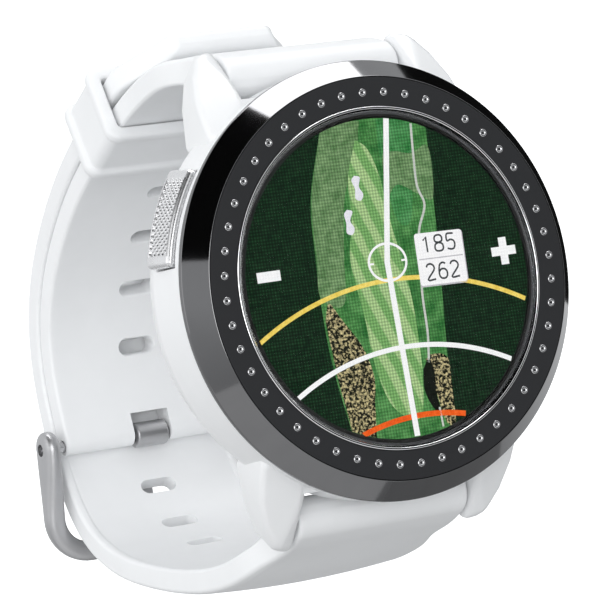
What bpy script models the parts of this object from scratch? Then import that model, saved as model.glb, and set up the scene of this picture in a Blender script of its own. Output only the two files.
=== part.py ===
"""Golf GPS watch: head, electronics, spring bars, two-piece strap, keeper and tang buckle.

Axes: +X to 3 o'clock, +Z to 12 o'clock, -Y out of the display. The origin is the centre of the
case back's flat, the face that sits on the wrist. Lengths are in metres.

Pieces of the watch head are modelled lying on the back, face up, and parented to an empty that
stands them upright: their local Z is the height above the case back. The band is modelled in
place, along centre lines in the YZ plane.
"""
import math

import bmesh
import bpy
import numpy as np
from mathutils import Matrix, Vector

MM = 0.001
GAP = 0.1 * MM            # between concentric turned pieces
LOOSE = 0.3 * MM          # between pieces of unlike shape

# Head: heights above the case back, and radii
HEAD_HEIGHT = 14.0 * MM
BEZEL_RADIUS = 22.4 * MM
BEZEL_SHOULDER = 11.6 * MM
INSERT_INNER = 17.45 * MM
INSERT_OUTER = 20.3 * MM
INSERT_THICKNESS = 0.5 * MM
CRYSTAL_RADIUS = 16.94 * MM
CRYSTAL_THICKNESS = 0.6 * MM
DISPLAY_RADIUS = 16.15 * MM
CASE_RADIUS = 22.0 * MM
CASE_TOP = 10.9 * MM
CASE_BORE = 18.4 * MM
BACK_RADIUS = 18.7 * MM
BACK_INSIDE = 2.4 * MM
FLANGE_TOP = 4.0 * MM
FLANGE_BORE = 15.2 * MM
TURN_STEPS = 60

# Lugs and spring bars
LUG_GAP_HALF = 10.3 * MM
BAR_Z = 22.7 * MM
BAR_HEIGHT = 2.9 * MM
BAR_TUBE_HALF = 9.6 * MM
BAR_TUBE_RADIUS = 0.75 * MM
TIP_RADIUS = 0.42 * MM
TIP_END = 11.6 * MM

# Side button: a curved bar on two stems, between 9 and 10 o'clock
BUTTON_ANGLE = math.radians(155.7)
BUTTON_HALF_SPAN = math.radians(13.2)
BUTTON_HEIGHT = 7.4 * MM
BUTTON_WIDTH = 3.8 * MM
BUTTON_OUTER = 23.3 * MM
BUTTON_INNER = 21.5 * MM
POCKET_FLOOR = 20.8 * MM
STEM_OFFSET = 3.0 * MM
STEM_RADIUS = 0.7 * MM

# Case back fasteners and charging contacts
SCREW_CIRCLE = 17.2 * MM
SCREW_HEAD_RADIUS = 1.05 * MM
SCREW_SHANK_RADIUS = 0.6 * MM
CONTACT_PITCH = 2.8 * MM
CONTACT_Z = -9.5 * MM
CONTACT_RADIUS = 0.8 * MM
BOARD_SCREW_X = 13.3 * MM
BOARD_SCREW_Z = -4.0 * MM

# Band
STRAP_THICKNESS = 2.7 * MM
STRAP_HALF_AT_LUG = 10.0 * MM
STRAP_HALF = 11.0 * MM
STRAP_FLARE = (5.0 * MM, 12.0 * MM)
NOSE_RADIUS = 2.3 * MM
CROWN = 0.55 * MM
LAYER_GAP = 0.3 * MM
SLOT_LENGTH = 4.4 * MM
SLOT_HEIGHT = 1.8 * MM
SLOT_PITCH = 6.5 * MM
BUCKLE_SLOT_PITCH = 7.7 * MM
TAIL_HALF = 6.3 * MM
TAIL_TAPER = 7.5 * MM
BUCKLE_END_HALF = 10.9 * MM
NOTCH_HALF = 2.35 * MM
NOTCH_DEPTH = 2.6 * MM
STATION_STEP = 2.8 * MM

# Buckle
ARM_X = 12.75 * MM
ARM_RADIUS = 1.35 * MM
FAR_BAR_RADIUS = 1.15 * MM
BOSS_RADIUS = 2.1 * MM
BOSS_HALF = 0.95 * MM
CORNER_RADIUS = 4.2 * MM
PIN_RADIUS = 0.6 * MM
PIN_HALF = 13.35 * MM
TONGUE_HALF = 1.95 * MM
TONGUE_THICKNESS = 0.9 * MM
TONGUE_STRIP_HALF = 1.55 * MM
TONGUE_CLEAR = 0.45 * MM
TONGUE_BEND = 1.0 * MM
TONGUE_PLAY = 0.15 * MM

# Keeper
KEEPER_LENGTH = 8.4 * MM
KEEPER_WALL = 1.5 * MM

HEAD_HALF_TURN = math.pi / 2

# Centre lines in (y, z). The tail half starts at the 6 o'clock bar and ends past the keeper.
TAIL_HALF_ROUTE = [
    (-2.9, -22.7), (3.0, -25.3), (10.0, -27.4), (20.0, -28.1), (30.0, -27.2), (38.5, -25.3),
    (45.0, -21.5), (48.7, -15.5), (50.5, -8.0), (50.6, -0.6), (48.1, 6.2), (42.8, 12.5),
    (34.5, 18.7), (24.2, 23.8), (13.4, 29.1),
]
# The buckle half starts at the 12 o'clock bar and joins the inside of the tail half at JOIN_Y.
BUCKLE_HALF_ROUTE = [(-2.9, 22.7), (3.2, 24.5), (9.5, 24.9), (15.5, 23.7)]
JOIN_Y = 24.2 * MM
PIVOT_Z = -11.8 * MM
FAR_BAR_CENTRE = Vector((0, 48.8 * MM, -23.9 * MM))

PART = "golf_gps_watch"
CUTTERS = "cutters"


def clear_scene():
    for obj in list(bpy.data.objects):
        bpy.data.objects.remove(obj, do_unlink=True)
    for mesh in list(bpy.data.meshes):
        bpy.data.meshes.remove(mesh)
    for name in (PART, CUTTERS):
        collection = bpy.data.collections.get(name)
        if collection:
            bpy.data.collections.remove(collection)
        bpy.context.scene.collection.children.link(bpy.data.collections.new(name))


def finish(name, colour, roughness, metallic=0.0, alpha=1.0):
    """A Principled material, made once for each name."""
    material = bpy.data.materials.get(name) or bpy.data.materials.new(name)
    material.use_nodes = True
    shader = material.node_tree.nodes["Principled BSDF"]
    shader.inputs["Base Color"].default_value = (*colour, 1.0)
    shader.inputs["Roughness"].default_value = roughness
    shader.inputs["Metallic"].default_value = metallic
    shader.inputs["Alpha"].default_value = alpha
    return material


def place(name, mesh, material=None, parent=None, cutter=False):
    """Link a mesh as a part, or as a hidden cutter."""
    obj = bpy.data.objects.new(name, mesh)
    bpy.data.collections[CUTTERS if cutter else PART].objects.link(obj)
    if cutter:
        obj.hide_render = True
        obj.display_type = "WIRE"
    elif material:
        mesh.materials.append(material)
    obj.parent = parent
    return obj


def mesh_of(name, bm):
    bmesh.ops.recalc_face_normals(bm, faces=bm.faces)
    mesh = bpy.data.meshes.new(name)
    bm.to_mesh(mesh)
    bm.free()
    return mesh


def turned(name, profile, material=None, parent=None, ring=True, steps=TURN_STEPS, cutter=False):
    """A turned piece about local Z. The profile runs down its outer side, then back up inside."""
    mesh = bpy.data.meshes.new(name)
    count = len(profile)
    edges = [(i, i + 1) for i in range(count - 1)]
    if ring:
        edges.append((count - 1, 0))
    mesh.from_pydata([(radius, 0, height) for radius, height in profile], edges, [])
    obj = place(name, mesh, material, parent, cutter)
    screw = obj.modifiers.new("Turn", "SCREW")
    screw.axis = "Z"
    screw.angle = math.tau
    screw.steps = screw.render_steps = steps
    screw.use_merge_vertices = True
    screw.merge_threshold = 0.00001
    return obj


def disc(name, radius, bottom, top, material=None, parent=None, steps=TURN_STEPS, cutter=False):
    profile = [(0, top), (radius, top), (radius, bottom), (0, bottom)]
    return turned(name, profile, material, parent, False, steps, cutter)


def washer(name, inner, outer, bottom, top, material=None, parent=None, steps=TURN_STEPS,
           cutter=False):
    profile = [(outer, top), (outer, bottom), (inner, bottom), (inner, top)]
    return turned(name, profile, material, parent, True, steps, cutter)


def box(name, size, centre, material=None, parent=None, bevel=0.0, cutter=False):
    bm = bmesh.new()
    bmesh.ops.create_cube(bm, size=1.0)
    bmesh.ops.scale(bm, vec=size, verts=bm.verts)
    obj = place(name, mesh_of(name, bm), material, parent, cutter)
    obj.location = centre
    if bevel:
        soften(obj, bevel)
    return obj


def rod(name, radius, length, centre, axis, material=None, parent=None, sides=16, cutter=False):
    """A plain cylinder, centred, along the given axis."""
    bm = bmesh.new()
    bmesh.ops.create_cone(bm, cap_ends=True, segments=sides, radius1=radius, radius2=radius,
                          depth=length)
    obj = place(name, mesh_of(name, bm), material, parent, cutter)
    obj.location = centre
    obj.rotation_euler = Vector(axis).to_track_quat("Z", "Y").to_euler()
    return obj


def soften(obj, width, segments=2, angle=0.6):
    bevel = obj.modifiers.new("Soften", "BEVEL")
    bevel.width = width
    bevel.segments = segments
    bevel.limit_method = "ANGLE"
    bevel.angle_limit = angle
    return bevel


def boolean(obj, other, operation="DIFFERENCE"):
    modifier = obj.modifiers.new(operation.title(), "BOOLEAN")
    modifier.operation = operation
    modifier.object = other
    modifier.solver = "EXACT"


def joined(name, pieces, cutter=True):
    """One mesh holding copies of several objects' evaluated meshes, as separate shells."""
    bpy.context.view_layer.update()
    graph = bpy.context.evaluated_depsgraph_get()
    bm = bmesh.new()
    for piece in pieces:
        mesh = bpy.data.meshes.new_from_object(piece.evaluated_get(graph))
        mesh.transform(piece.matrix_world)
        bm.from_mesh(mesh)
        bpy.data.meshes.remove(mesh)
    for piece in pieces:
        bpy.data.objects.remove(piece, do_unlink=True)
    return place(name, mesh_of(name, bm), cutter=cutter)


def ring_segment(bm, inner, outer, bottom, top, middle, half_span, steps):
    """A box bent round the head's axis, added to bm."""
    rows = []
    for i in range(steps + 1):
        angle = middle - half_span + 2 * half_span * i / steps
        direction = Vector((math.cos(angle), math.sin(angle), 0))
        corners = [(inner, bottom), (outer, bottom), (outer, top), (inner, top)]
        rows.append([bm.verts.new(direction * r + Vector((0, 0, h))) for r, h in corners])
    for a, b in zip(rows, rows[1:]):
        for k in range(4):
            bm.faces.new((a[k], a[(k + 1) % 4], b[(k + 1) % 4], b[k]))
    bm.faces.new(rows[0])
    bm.faces.new(rows[-1])


# ---------------------------------------------------------------- watch head

def lug_hull(bm, mirror_x, mirror_z):
    """One lug as the convex hull of its corner points, in head axes (x, z, height)."""
    inner = LUG_GAP_HALF / MM
    corners = [
        (inner, 16.0, 9.3), (inner, 19.9, 8.5), (inner, 22.9, 5.8), (inner, 25.8, 3.1),
        (inner, 25.6, 1.9), (inner, 23.6, 0.6), (inner, 16.0, 1.2),
        (15.2, 15.8, 9.3), (15.2, 18.4, 8.0), (15.0, 20.4, 6.8), (14.1, 23.0, 5.3),
        (12.4, 25.5, 4.0), (12.3, 25.3, 2.4), (13.2, 23.0, 0.9), (13.9, 20.2, 0.9),
        (14.6, 15.6, 1.8),
    ]
    points = [Vector((x * mirror_x, z * mirror_z, h)) * MM for x, z, h in corners]
    made = [bm.verts.new(p) for p in points]
    result = bmesh.ops.convex_hull(bm, input=made)
    unused = [v for v in result["geom_interior"] if isinstance(v, bmesh.types.BMVert)]
    bmesh.ops.delete(bm, geom=unused, context="VERTS")


def make_case(head, polymer):
    inner_top = CASE_BORE + 1.0 * MM
    profile = [
        (CASE_RADIUS - 0.5 * MM, CASE_TOP), (CASE_RADIUS, CASE_TOP - 0.5 * MM),
        (CASE_RADIUS, 4.4 * MM), (CASE_RADIUS - 0.5 * MM, 3.0 * MM), (20.7 * MM, 1.1 * MM),
        (20.2 * MM, 0.8 * MM), (BACK_RADIUS + 0.2 * MM, 0.8 * MM),
        (BACK_RADIUS + 0.2 * MM, BACK_INSIDE + 0.2 * MM),
        (FLANGE_BORE, BACK_INSIDE + 0.2 * MM), (FLANGE_BORE, FLANGE_TOP),
        (CASE_BORE, FLANGE_TOP), (CASE_BORE, 9.3 * MM), (inner_top, 9.3 * MM),
        (inner_top, CASE_TOP),
    ]
    case = turned("case_body", profile, polymer, head)

    for side_x in (-1, 1):
        for side_z in (-1, 1):
            bm = bmesh.new()
            lug_hull(bm, side_x, side_z)
            lug = place("lug", mesh_of("lug", bm), parent=head, cutter=True)
            boolean(case, lug, "UNION")

    cuts = []
    for side in (-1, 1):
        size = (2 * LUG_GAP_HALF, 8 * MM, 7.0 * MM)
        centre = (0, side * 24.1 * MM, 2.4 * MM)
        cuts.append(box("strap_seat", size, centre, cutter=True))
        bar = (0, side * BAR_Z, BAR_HEIGHT)
        cuts.append(rod("bar_hole", 0.55 * MM, 2 * (TIP_END + LOOSE), bar, (1, 0, 0), sides=12,
                        cutter=True))
    boolean(case, attach(joined("band_cuts", cuts), head))

    bm = bmesh.new()
    margin = LOOSE
    ring_segment(bm, POCKET_FLOOR, BUTTON_OUTER + 2 * MM, BUTTON_HEIGHT - BUTTON_WIDTH / 2 - margin,
                 BUTTON_HEIGHT + BUTTON_WIDTH / 2 + margin, BUTTON_ANGLE,
                 BUTTON_HALF_SPAN + margin / BUTTON_OUTER, 10)
    pocket = place("button_pocket", mesh_of("button_pocket", bm), parent=head, cutter=True)
    boolean(case, pocket)
    stems = []
    for offset in (-STEM_OFFSET, STEM_OFFSET):
        stems.append(button_rod("stem_hole", STEM_RADIUS + 0.15 * MM, 16.0 * MM, 22.0 * MM, offset,
                                cutter=True))
        stems.append(button_rod("seal_seat", 1.6 * MM, 19.6 * MM, 21.6 * MM, offset, cutter=True))
    boolean(case, attach(union_of("stem_holes", stems), head))

    holes = [rod("screw_hole", SCREW_SHANK_RADIUS + 0.15 * MM, 1.2 * MM,
                 (*screw_place(i), 3.0 * MM), (0, 0, 1), sides=12, cutter=True) for i in range(4)]
    boolean(case, attach(joined("screw_holes", holes), head))
    return case


def re_origin(obj, origin):
    """Move an object's origin onto its joint's axis without moving its mesh."""
    offset = Vector(origin) - obj.location
    turn = obj.rotation_euler.to_matrix().inverted()
    obj.data.transform(Matrix.Translation(-(turn @ offset)))
    obj.location = origin


def attach(obj, parent):
    obj.parent = parent
    return obj


def union_of(name, pieces):
    """The union of overlapping cutters, as one closed cutter."""
    first = pieces[0]
    for other in pieces[1:]:
        boolean(first, other, "UNION")
    bpy.context.view_layer.update()
    graph = bpy.context.evaluated_depsgraph_get()
    mesh = bpy.data.meshes.new_from_object(first.evaluated_get(graph))
    mesh.transform(first.matrix_world)
    for piece in pieces:
        bpy.data.objects.remove(piece, do_unlink=True)
    return place(name, mesh, cutter=True)


def button_direction():
    return Vector((math.cos(BUTTON_ANGLE), math.sin(BUTTON_ANGLE), 0))


def button_rod(name, radius, start, end, offset, material=None, parent=None, sides=16,
               cutter=False):
    """A cylinder along the button's travel, from one distance to another off the head's axis."""
    out = button_direction()
    along = Vector((-out.y, out.x, 0))
    centre = out * (start + end) / 2 + along * offset + Vector((0, 0, BUTTON_HEIGHT))
    return rod(name, radius, end - start, centre, out, material, parent, sides, cutter)


def screw_place(index):
    angle = math.radians(45 + 90 * index)
    return SCREW_CIRCLE * math.cos(angle), SCREW_CIRCLE * math.sin(angle)


def make_face(head, finishes):
    """Bezel, insert, crystal, its gasket and the display behind it."""
    lip_inner = CRYSTAL_RADIUS + GAP
    recess = HEAD_HEIGHT - INSERT_THICKNESS - GAP
    ledge = HEAD_HEIGHT - CRYSTAL_THICKNESS - 0.35 * MM
    ledge_bore = DISPLAY_RADIUS + 0.15 * MM
    skirt = CASE_BORE + 0.9 * MM
    profile = [
        (INSERT_OUTER + GAP, HEAD_HEIGHT), (BEZEL_RADIUS, BEZEL_SHOULDER),
        (BEZEL_RADIUS, CASE_TOP + GAP), (skirt, CASE_TOP + GAP), (skirt, 9.6 * MM),
        (18.5 * MM, 9.6 * MM), (18.5 * MM, 12.0 * MM), (ledge_bore, 12.0 * MM),
        (ledge_bore, ledge), (lip_inner, ledge), (lip_inner, HEAD_HEIGHT),
        (INSERT_INNER - GAP, HEAD_HEIGHT), (INSERT_INNER - GAP, recess),
        (INSERT_OUTER + GAP, recess),
    ]
    turned("bezel_ring", profile, finishes["gunmetal"], head)
    washer("bezel_insert", INSERT_INNER, INSERT_OUTER, HEAD_HEIGHT - INSERT_THICKNESS,
           HEAD_HEIGHT, finishes["black"], head)
    crystal_under = HEAD_HEIGHT - CRYSTAL_THICKNESS
    disc("crystal", CRYSTAL_RADIUS, crystal_under, HEAD_HEIGHT, finishes["glass"], head)
    washer("crystal_gasket", ledge_bore + GAP, CRYSTAL_RADIUS - GAP, ledge + 0.05 * MM,
           crystal_under - 0.05 * MM, finishes["rubber"], head, steps=48)
    disc("display_module", DISPLAY_RADIUS - GAP, 11.3 * MM, crystal_under - GAP,
         finishes["display"], head, steps=48)


def make_chassis(head, finishes):
    """The tray that carries the display on its front and the battery and board behind it."""
    outer = CASE_BORE - 0.3 * MM
    inner = outer - 0.8 * MM
    profile = [
        (0, 10.9 * MM), (outer - 0.4 * MM, 10.9 * MM), (outer - 0.4 * MM, 9.2 * MM),
        (outer, 8.9 * MM), (outer, 4.3 * MM), (inner, 4.3 * MM), (inner, 10.1 * MM),
        (0, 10.1 * MM),
    ]
    chassis = turned("inner_chassis", profile, finishes["grey"], head, ring=False, steps=48)
    flex_window = box("flex_window", (10 * MM, 3.4 * MM, 4 * MM), (0, -16.8 * MM, 10.4 * MM),
                      cutter=True)
    boolean(chassis, attach(flex_window, head))
    out = button_direction()
    angle = math.atan2(out.y, out.x)
    window = box("switch_window", (6 * MM, 11 * MM, 5.6 * MM),
                 (*(out * 17.8 * MM).xy, BUTTON_HEIGHT), cutter=True)
    window.rotation_euler = (0, 0, angle)
    boolean(chassis, attach(window, head))
    for x in (-1, 1):
        post = rod("screw_post", 1.3 * MM, 5.0 * MM, (x * BOARD_SCREW_X, BOARD_SCREW_Z, 8.0 * MM),
                   (0, 0, 1), sides=12, cutter=True)
        boolean(chassis, attach(post, head), "UNION")
        hole = rod("post_hole", 0.6 * MM, 2.4 * MM, (x * BOARD_SCREW_X, BOARD_SCREW_Z, 6.4 * MM),
                   (0, 0, 1), sides=12, cutter=True)
        boolean(chassis, attach(hole, head))
    return chassis


def make_board(head, finishes):
    bottom, top = 4.5 * MM, 5.3 * MM
    board = disc("main_board", 16.9 * MM, bottom, top, finishes["board"], head, steps=48)
    notches = []
    for x in (-1, 1):
        place_on_board = (x * BOARD_SCREW_X, BOARD_SCREW_Z, 4.9 * MM)
        notches.append(rod("board_hole", 0.75 * MM, 3 * MM, place_on_board, (0, 0, 1), sides=12,
                           cutter=True))
    boolean(board, attach(joined("board_cuts", notches), head))

    for index, x in enumerate((-1, 1), start=1):
        screw = turned("board_screw_%d" % index,
                       [(0, 7.2 * MM), (0.5 * MM, 7.2 * MM), (0.5 * MM, 4.35 * MM),
                        (1.0 * MM, 4.35 * MM), (1.0 * MM, 3.75 * MM), (0, 3.75 * MM)],
                       finishes["steel"], head, ring=False, steps=12)
        screw.location = (x * BOARD_SCREW_X, BOARD_SCREW_Z, 0)

    can = box("shield_can", (11 * MM, 9 * MM, 1.3 * MM), (5.5 * MM, 3.5 * MM, 3.7 * MM),
              finishes["steel"], head, bevel=0.25 * MM)
    can_hollow = box("can_hollow", (10.5 * MM, 8.5 * MM, 1.4 * MM), (5.5 * MM, 3.5 * MM, 4.0 * MM),
                     cutter=True)
    boolean(can, attach(can_hollow, head))
    box("gps_receiver", (4.5 * MM, 4.5 * MM, 0.9 * MM), (-6.5 * MM, 5.5 * MM, 3.9 * MM),
        finishes["chip"], head)
    box("gps_antenna", (10 * MM, 5.6 * MM, 3.6 * MM), (0.5 * MM, 12.6 * MM, 7.6 * MM),
        finishes["ceramic"], head, bevel=0.3 * MM)
    box("battery", (17.2 * MM, 19.6 * MM, 4.0 * MM), (3.0 * MM, -0.9 * MM, 7.8 * MM),
        finishes["foil"], head, bevel=0.8 * MM)


def make_flex(head, finishes):
    """The display's ribbon: out from behind the panel, down through the tray to the board."""
    half = 3.6 * MM
    route = [(-12.0, 11.1), (-15.5, 11.1), (-16.45, 10.2), (-16.6, 8.5), (-16.6, 6.3),
             (-16.2, 5.65), (-15.4, 5.45), (-12.6, 5.45)]
    bm = bmesh.new()
    rows = []
    for z, h in route:
        rows.append([bm.verts.new((x, z * MM, h * MM)) for x in (-half, half)])
    for a, b in zip(rows, rows[1:]):
        bm.faces.new((a[0], a[1], b[1], b[0]))
    flex = place("display_flex", mesh_of("display_flex", bm), finishes["flex"], head)
    solid = flex.modifiers.new("Thickness", "SOLIDIFY")
    solid.thickness = 0.15 * MM
    solid.offset = 0.0


def make_motor(head, finishes):
    """A small vibration motor at the foot of the head, and the weight on its shaft."""
    axis_z, height = -13.6 * MM, 7.7 * MM
    can = turned("vibration_motor",
                 [(0, 5.2 * MM), (0.4 * MM, 5.2 * MM), (0.4 * MM, 0.6 * MM), (1.9 * MM, 0.6 * MM),
                  (1.9 * MM, -6.4 * MM), (0, -6.4 * MM)],
                 finishes["steel"], head, ring=False, steps=20)
    can.location = (0, axis_z, height)
    can.rotation_euler = (0, HEAD_HALF_TURN, 0)
    weight = turned("vibration_weight",
                    [(1.75 * MM, 4.6 * MM), (1.75 * MM, 1.4 * MM), (0.5 * MM, 1.4 * MM),
                     (0.5 * MM, 4.6 * MM)],
                    finishes["tungsten"], head, steps=20)
    weight.location = (0, axis_z, height)
    weight.rotation_euler = (0, HEAD_HALF_TURN, 0)
    half_cut = box("weight_cut", (6 * MM, 3 * MM, 6 * MM), (3.0 * MM, axis_z + 2.2 * MM, height),
                   cutter=True)
    boolean(weight, attach(half_cut, head))


def make_back(head, finishes):
    """Case back with its gasket, screws and charging contacts."""
    profile = [
        (0, BACK_INSIDE), (BACK_RADIUS, BACK_INSIDE), (BACK_RADIUS, 0.9 * MM),
        (16.2 * MM, 0.0), (0, 0.0),
    ]
    back = turned("case_back", profile, finishes["plastic"], head, ring=False)
    cuts = []
    for i in range(4):
        x, z = screw_place(i)
        cuts.append(rod("back_hole", SCREW_SHANK_RADIUS + 0.15 * MM, 4 * MM, (x, z, 1.5 * MM),
                        (0, 0, 1), sides=12, cutter=True))
        x = (i - 1.5) * CONTACT_PITCH
        cuts.append(rod("contact_hole", CONTACT_RADIUS + GAP, 6 * MM, (x, CONTACT_Z, 1 * MM),
                        (0, 0, 1), sides=16, cutter=True))
    boolean(back, attach(joined("back_holes", cuts), head))
    heads = [rod("head_seat", SCREW_HEAD_RADIUS + 0.15 * MM, 3 * MM, (*screw_place(i), 0.05 * MM),
                 (0, 0, 1), sides=12, cutter=True) for i in range(4)]
    boolean(back, attach(joined("head_seats", heads), head))
    groove = washer("gasket_groove", 15.5 * MM, 16.1 * MM, BACK_INSIDE - 0.3 * MM,
                    BACK_INSIDE + 1 * MM, steps=48, cutter=True)
    boolean(back, attach(groove, head))

    washer("case_back_gasket", 15.6 * MM, 16.0 * MM, BACK_INSIDE - 0.2 * MM,
           BACK_INSIDE + 0.15 * MM, finishes["rubber"], head, steps=48)
    for i in range(4):
        screw = turned("case_back_screw_%d" % (i + 1),
                       [(0, 3.5 * MM), (SCREW_SHANK_RADIUS, 3.5 * MM),
                        (SCREW_SHANK_RADIUS, 1.5 * MM), (SCREW_HEAD_RADIUS, 1.5 * MM),
                        (SCREW_HEAD_RADIUS, 0.75 * MM), (0, 0.75 * MM)],
                       finishes["steel"], head, ring=False, steps=12)
        screw.location = (*screw_place(i), 0)
        cross = [box("cross", (1.3 * MM, 0.3 * MM, 0.5 * MM), (0, 0, 0), cutter=True),
                 box("cross", (0.3 * MM, 1.3 * MM, 0.5 * MM), (0, 0, 0), cutter=True)]
        drive = union_of("screw_drive", cross)
        drive.location = (*screw_place(i), 0.8 * MM)
        boolean(screw, attach(drive, head))
        contact = turned("charging_contact_%d" % (i + 1),
                         [(0, 3.3 * MM), (0.5 * MM, 3.3 * MM), (0.5 * MM, 2.2 * MM),
                          (CONTACT_RADIUS, 2.2 * MM), (CONTACT_RADIUS, 0.25 * MM),
                          (0, 0.25 * MM)],
                         finishes["gold"], head, ring=False, steps=16)
        contact.location = ((i - 1.5) * CONTACT_PITCH, CONTACT_Z, 0)


def make_button(head, finishes):
    """The side bar on its two stems, with a seal, a clip and a switch for each stem."""
    bm = bmesh.new()
    ring_segment(bm, BUTTON_INNER, BUTTON_OUTER, BUTTON_HEIGHT - BUTTON_WIDTH / 2,
                 BUTTON_HEIGHT + BUTTON_WIDTH / 2, BUTTON_ANGLE, BUTTON_HALF_SPAN, 10)
    bar = place("button_bar", mesh_of("button_bar", bm), finishes["satin"], head)
    soften(bar, 0.45 * MM, 2)
    re_origin(bar, button_direction() * BUTTON_OUTER + Vector((0, 0, BUTTON_HEIGHT)))
    for index, offset in enumerate((-STEM_OFFSET, STEM_OFFSET), start=1):
        stem = button_rod("stem", STEM_RADIUS, 17.25 * MM, 22.4 * MM, offset, parent=head,
                          cutter=True)
        boolean(bar, stem, "UNION")
        out = button_direction()
        along = Vector((-out.y, out.x, 0))
        centre = along * offset + Vector((0, 0, BUTTON_HEIGHT))
        turn = out.to_track_quat("Z", "Y").to_euler()
        seal = washer("button_seal_%d" % index, STEM_RADIUS + GAP, 1.5 * MM, 19.65 * MM,
                      20.25 * MM, finishes["rubber"], head, steps=16)
        clip = washer("button_clip_%d" % index, STEM_RADIUS + 0.05 * MM, 1.3 * MM, 17.4 * MM,
                      17.62 * MM, finishes["steel"], head, steps=16)
        for piece in (seal, clip):
            piece.location = centre
            piece.rotation_euler = turn
        switch = box("button_switch_%d" % index, (1.6 * MM, 3.0 * MM, 2.6 * MM), (0, 0, 0),
                     finishes["chip"], head)
        switch.location = centre + out * 15.5 * MM
        switch.rotation_euler = (0, 0, math.atan2(out.y, out.x))
        nub = button_rod("nub", 0.5 * MM, 16.0 * MM, 16.55 * MM, offset, parent=head, sides=12,
                         cutter=True)
        boolean(switch, nub, "UNION")


# ---------------------------------------------------------------- spring bars

def make_spring_bar(label, side, finishes):
    """A tube, two sprung tips and the coil between them, on one lug axis."""
    centre = Vector((0, -BAR_HEIGHT, side * BAR_Z))
    tube = washer("spring_bar_tube_" + label, 0.55 * MM, BAR_TUBE_RADIUS, -BAR_TUBE_HALF,
                  BAR_TUBE_HALF, finishes["steel"], steps=16)
    tube.location = centre
    tube.rotation_euler = (0, HEAD_HALF_TURN, 0)
    for hand, name in ((-1, "left"), (1, "right")):
        tip = turned("spring_bar_tip_%s_%s" % (label, name),
                     [(0, TIP_END), (TIP_RADIUS - 0.12 * MM, TIP_END),
                      (TIP_RADIUS, TIP_END - 0.2 * MM), (TIP_RADIUS, 6.6 * MM), (0, 6.6 * MM)],
                     finishes["steel"], ring=False, steps=14)
        tip.location = centre
        tip.rotation_euler = (0, hand * HEAD_HALF_TURN, 0)
    coil("spring_bar_coil_" + label, centre, 6.4 * MM, 0.38 * MM, 0.09 * MM, 9,
         finishes["steel"])


def coil(name, centre, half_length, radius, wire, turns, material):
    """A helix along X."""
    per_turn = 8
    count = turns * per_turn + 1
    curve = bpy.data.curves.new(name, "CURVE")
    curve.dimensions = "3D"
    curve.bevel_depth = wire
    curve.bevel_resolution = 0
    curve.use_fill_caps = True
    spline = curve.splines.new("POLY")
    spline.points.add(count - 1)
    for i, point in enumerate(spline.points):
        angle = math.tau * i / per_turn
        x = -half_length + 2 * half_length * i / (count - 1)
        point.co = (x, radius * math.cos(angle), radius * math.sin(angle), 1)
    curve.materials.append(material)
    obj = bpy.data.objects.new(name, curve)
    bpy.data.collections[PART].objects.link(obj)
    obj.location = centre
    return obj


# ---------------------------------------------------------------- band

def smooth_route(points, step):
    """Evenly spaced stations on a natural cubic spline through points, as an array of (y, z)."""
    knots = np.array(points, dtype=float)
    chord = np.r_[0, np.cumsum(np.linalg.norm(np.diff(knots, axis=0), axis=1))]
    count = len(knots)
    span = np.diff(chord)
    matrix = np.zeros((count, count))
    right = np.zeros((count, 2))
    matrix[0, 0] = matrix[-1, -1] = 1
    for i in range(1, count - 1):
        matrix[i, i - 1:i + 2] = span[i - 1], 2 * (span[i - 1] + span[i]), span[i]
        slope = np.diff(knots[i - 1:i + 2], axis=0) / span[i - 1:i + 1, None]
        right[i] = 6 * (slope[1] - slope[0])
    bend = np.linalg.solve(matrix, right)

    def at(t):
        i = int(np.clip(np.searchsorted(chord, t) - 1, 0, count - 2))
        h = span[i]
        a, b = (chord[i + 1] - t) / h, (t - chord[i]) / h
        return (a * knots[i] + b * knots[i + 1]
                + ((a ** 3 - a) * bend[i] + (b ** 3 - b) * bend[i + 1]) * h * h / 6)

    fine = np.array([at(t) for t in np.linspace(0, chord[-1], 1200)])
    length = np.r_[0, np.cumsum(np.linalg.norm(np.diff(fine, axis=0), axis=1))]
    stations = np.linspace(0, length[-1], max(2, round(length[-1] / step) + 1))
    return np.stack([np.interp(stations, length, fine[:, k]) for k in range(2)], axis=1)


class Route:
    """A centre line in the YZ plane, measured by the length along it."""

    def __init__(self, points):
        self.line = smooth_route(points, 0.25 * MM)
        self.length = np.r_[0, np.cumsum(np.linalg.norm(np.diff(self.line, axis=0), axis=1))]
        self.total = float(self.length[-1])

    def at(self, s):
        """Position, direction and outward normal at length s. Beyond an end it runs straight."""
        inside = min(max(s, 0.0), self.total)
        near = min(max(inside, 0.5 * MM), self.total - 0.5 * MM)
        position = np.array([np.interp(inside, self.length, self.line[:, k]) for k in range(2)])
        ahead, behind = ([np.interp(near + d * 0.5 * MM, self.length, self.line[:, k])
                          for k in range(2)] for d in (1, -1))
        direction = np.array(ahead) - np.array(behind)
        direction /= np.linalg.norm(direction)
        position = position + direction * (s - inside)
        return position, direction, np.array([-direction[1], direction[0]])

    def nearest(self, point):
        return float(self.length[np.linalg.norm(self.line - np.array(point), axis=1).argmin()])


def route_in_mm(points):
    return [(y * MM, z * MM) for y, z in points]


def tail_route():
    return Route(route_in_mm(TAIL_HALF_ROUTE))


def outward(route, s):
    """The normal that points away from the wrist, towards larger distance from the loop."""
    position, _, normal = route.at(s)
    centre = np.array((22.0 * MM, 0.0))
    return normal if np.dot(normal, position - centre) > 0 else -normal


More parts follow.
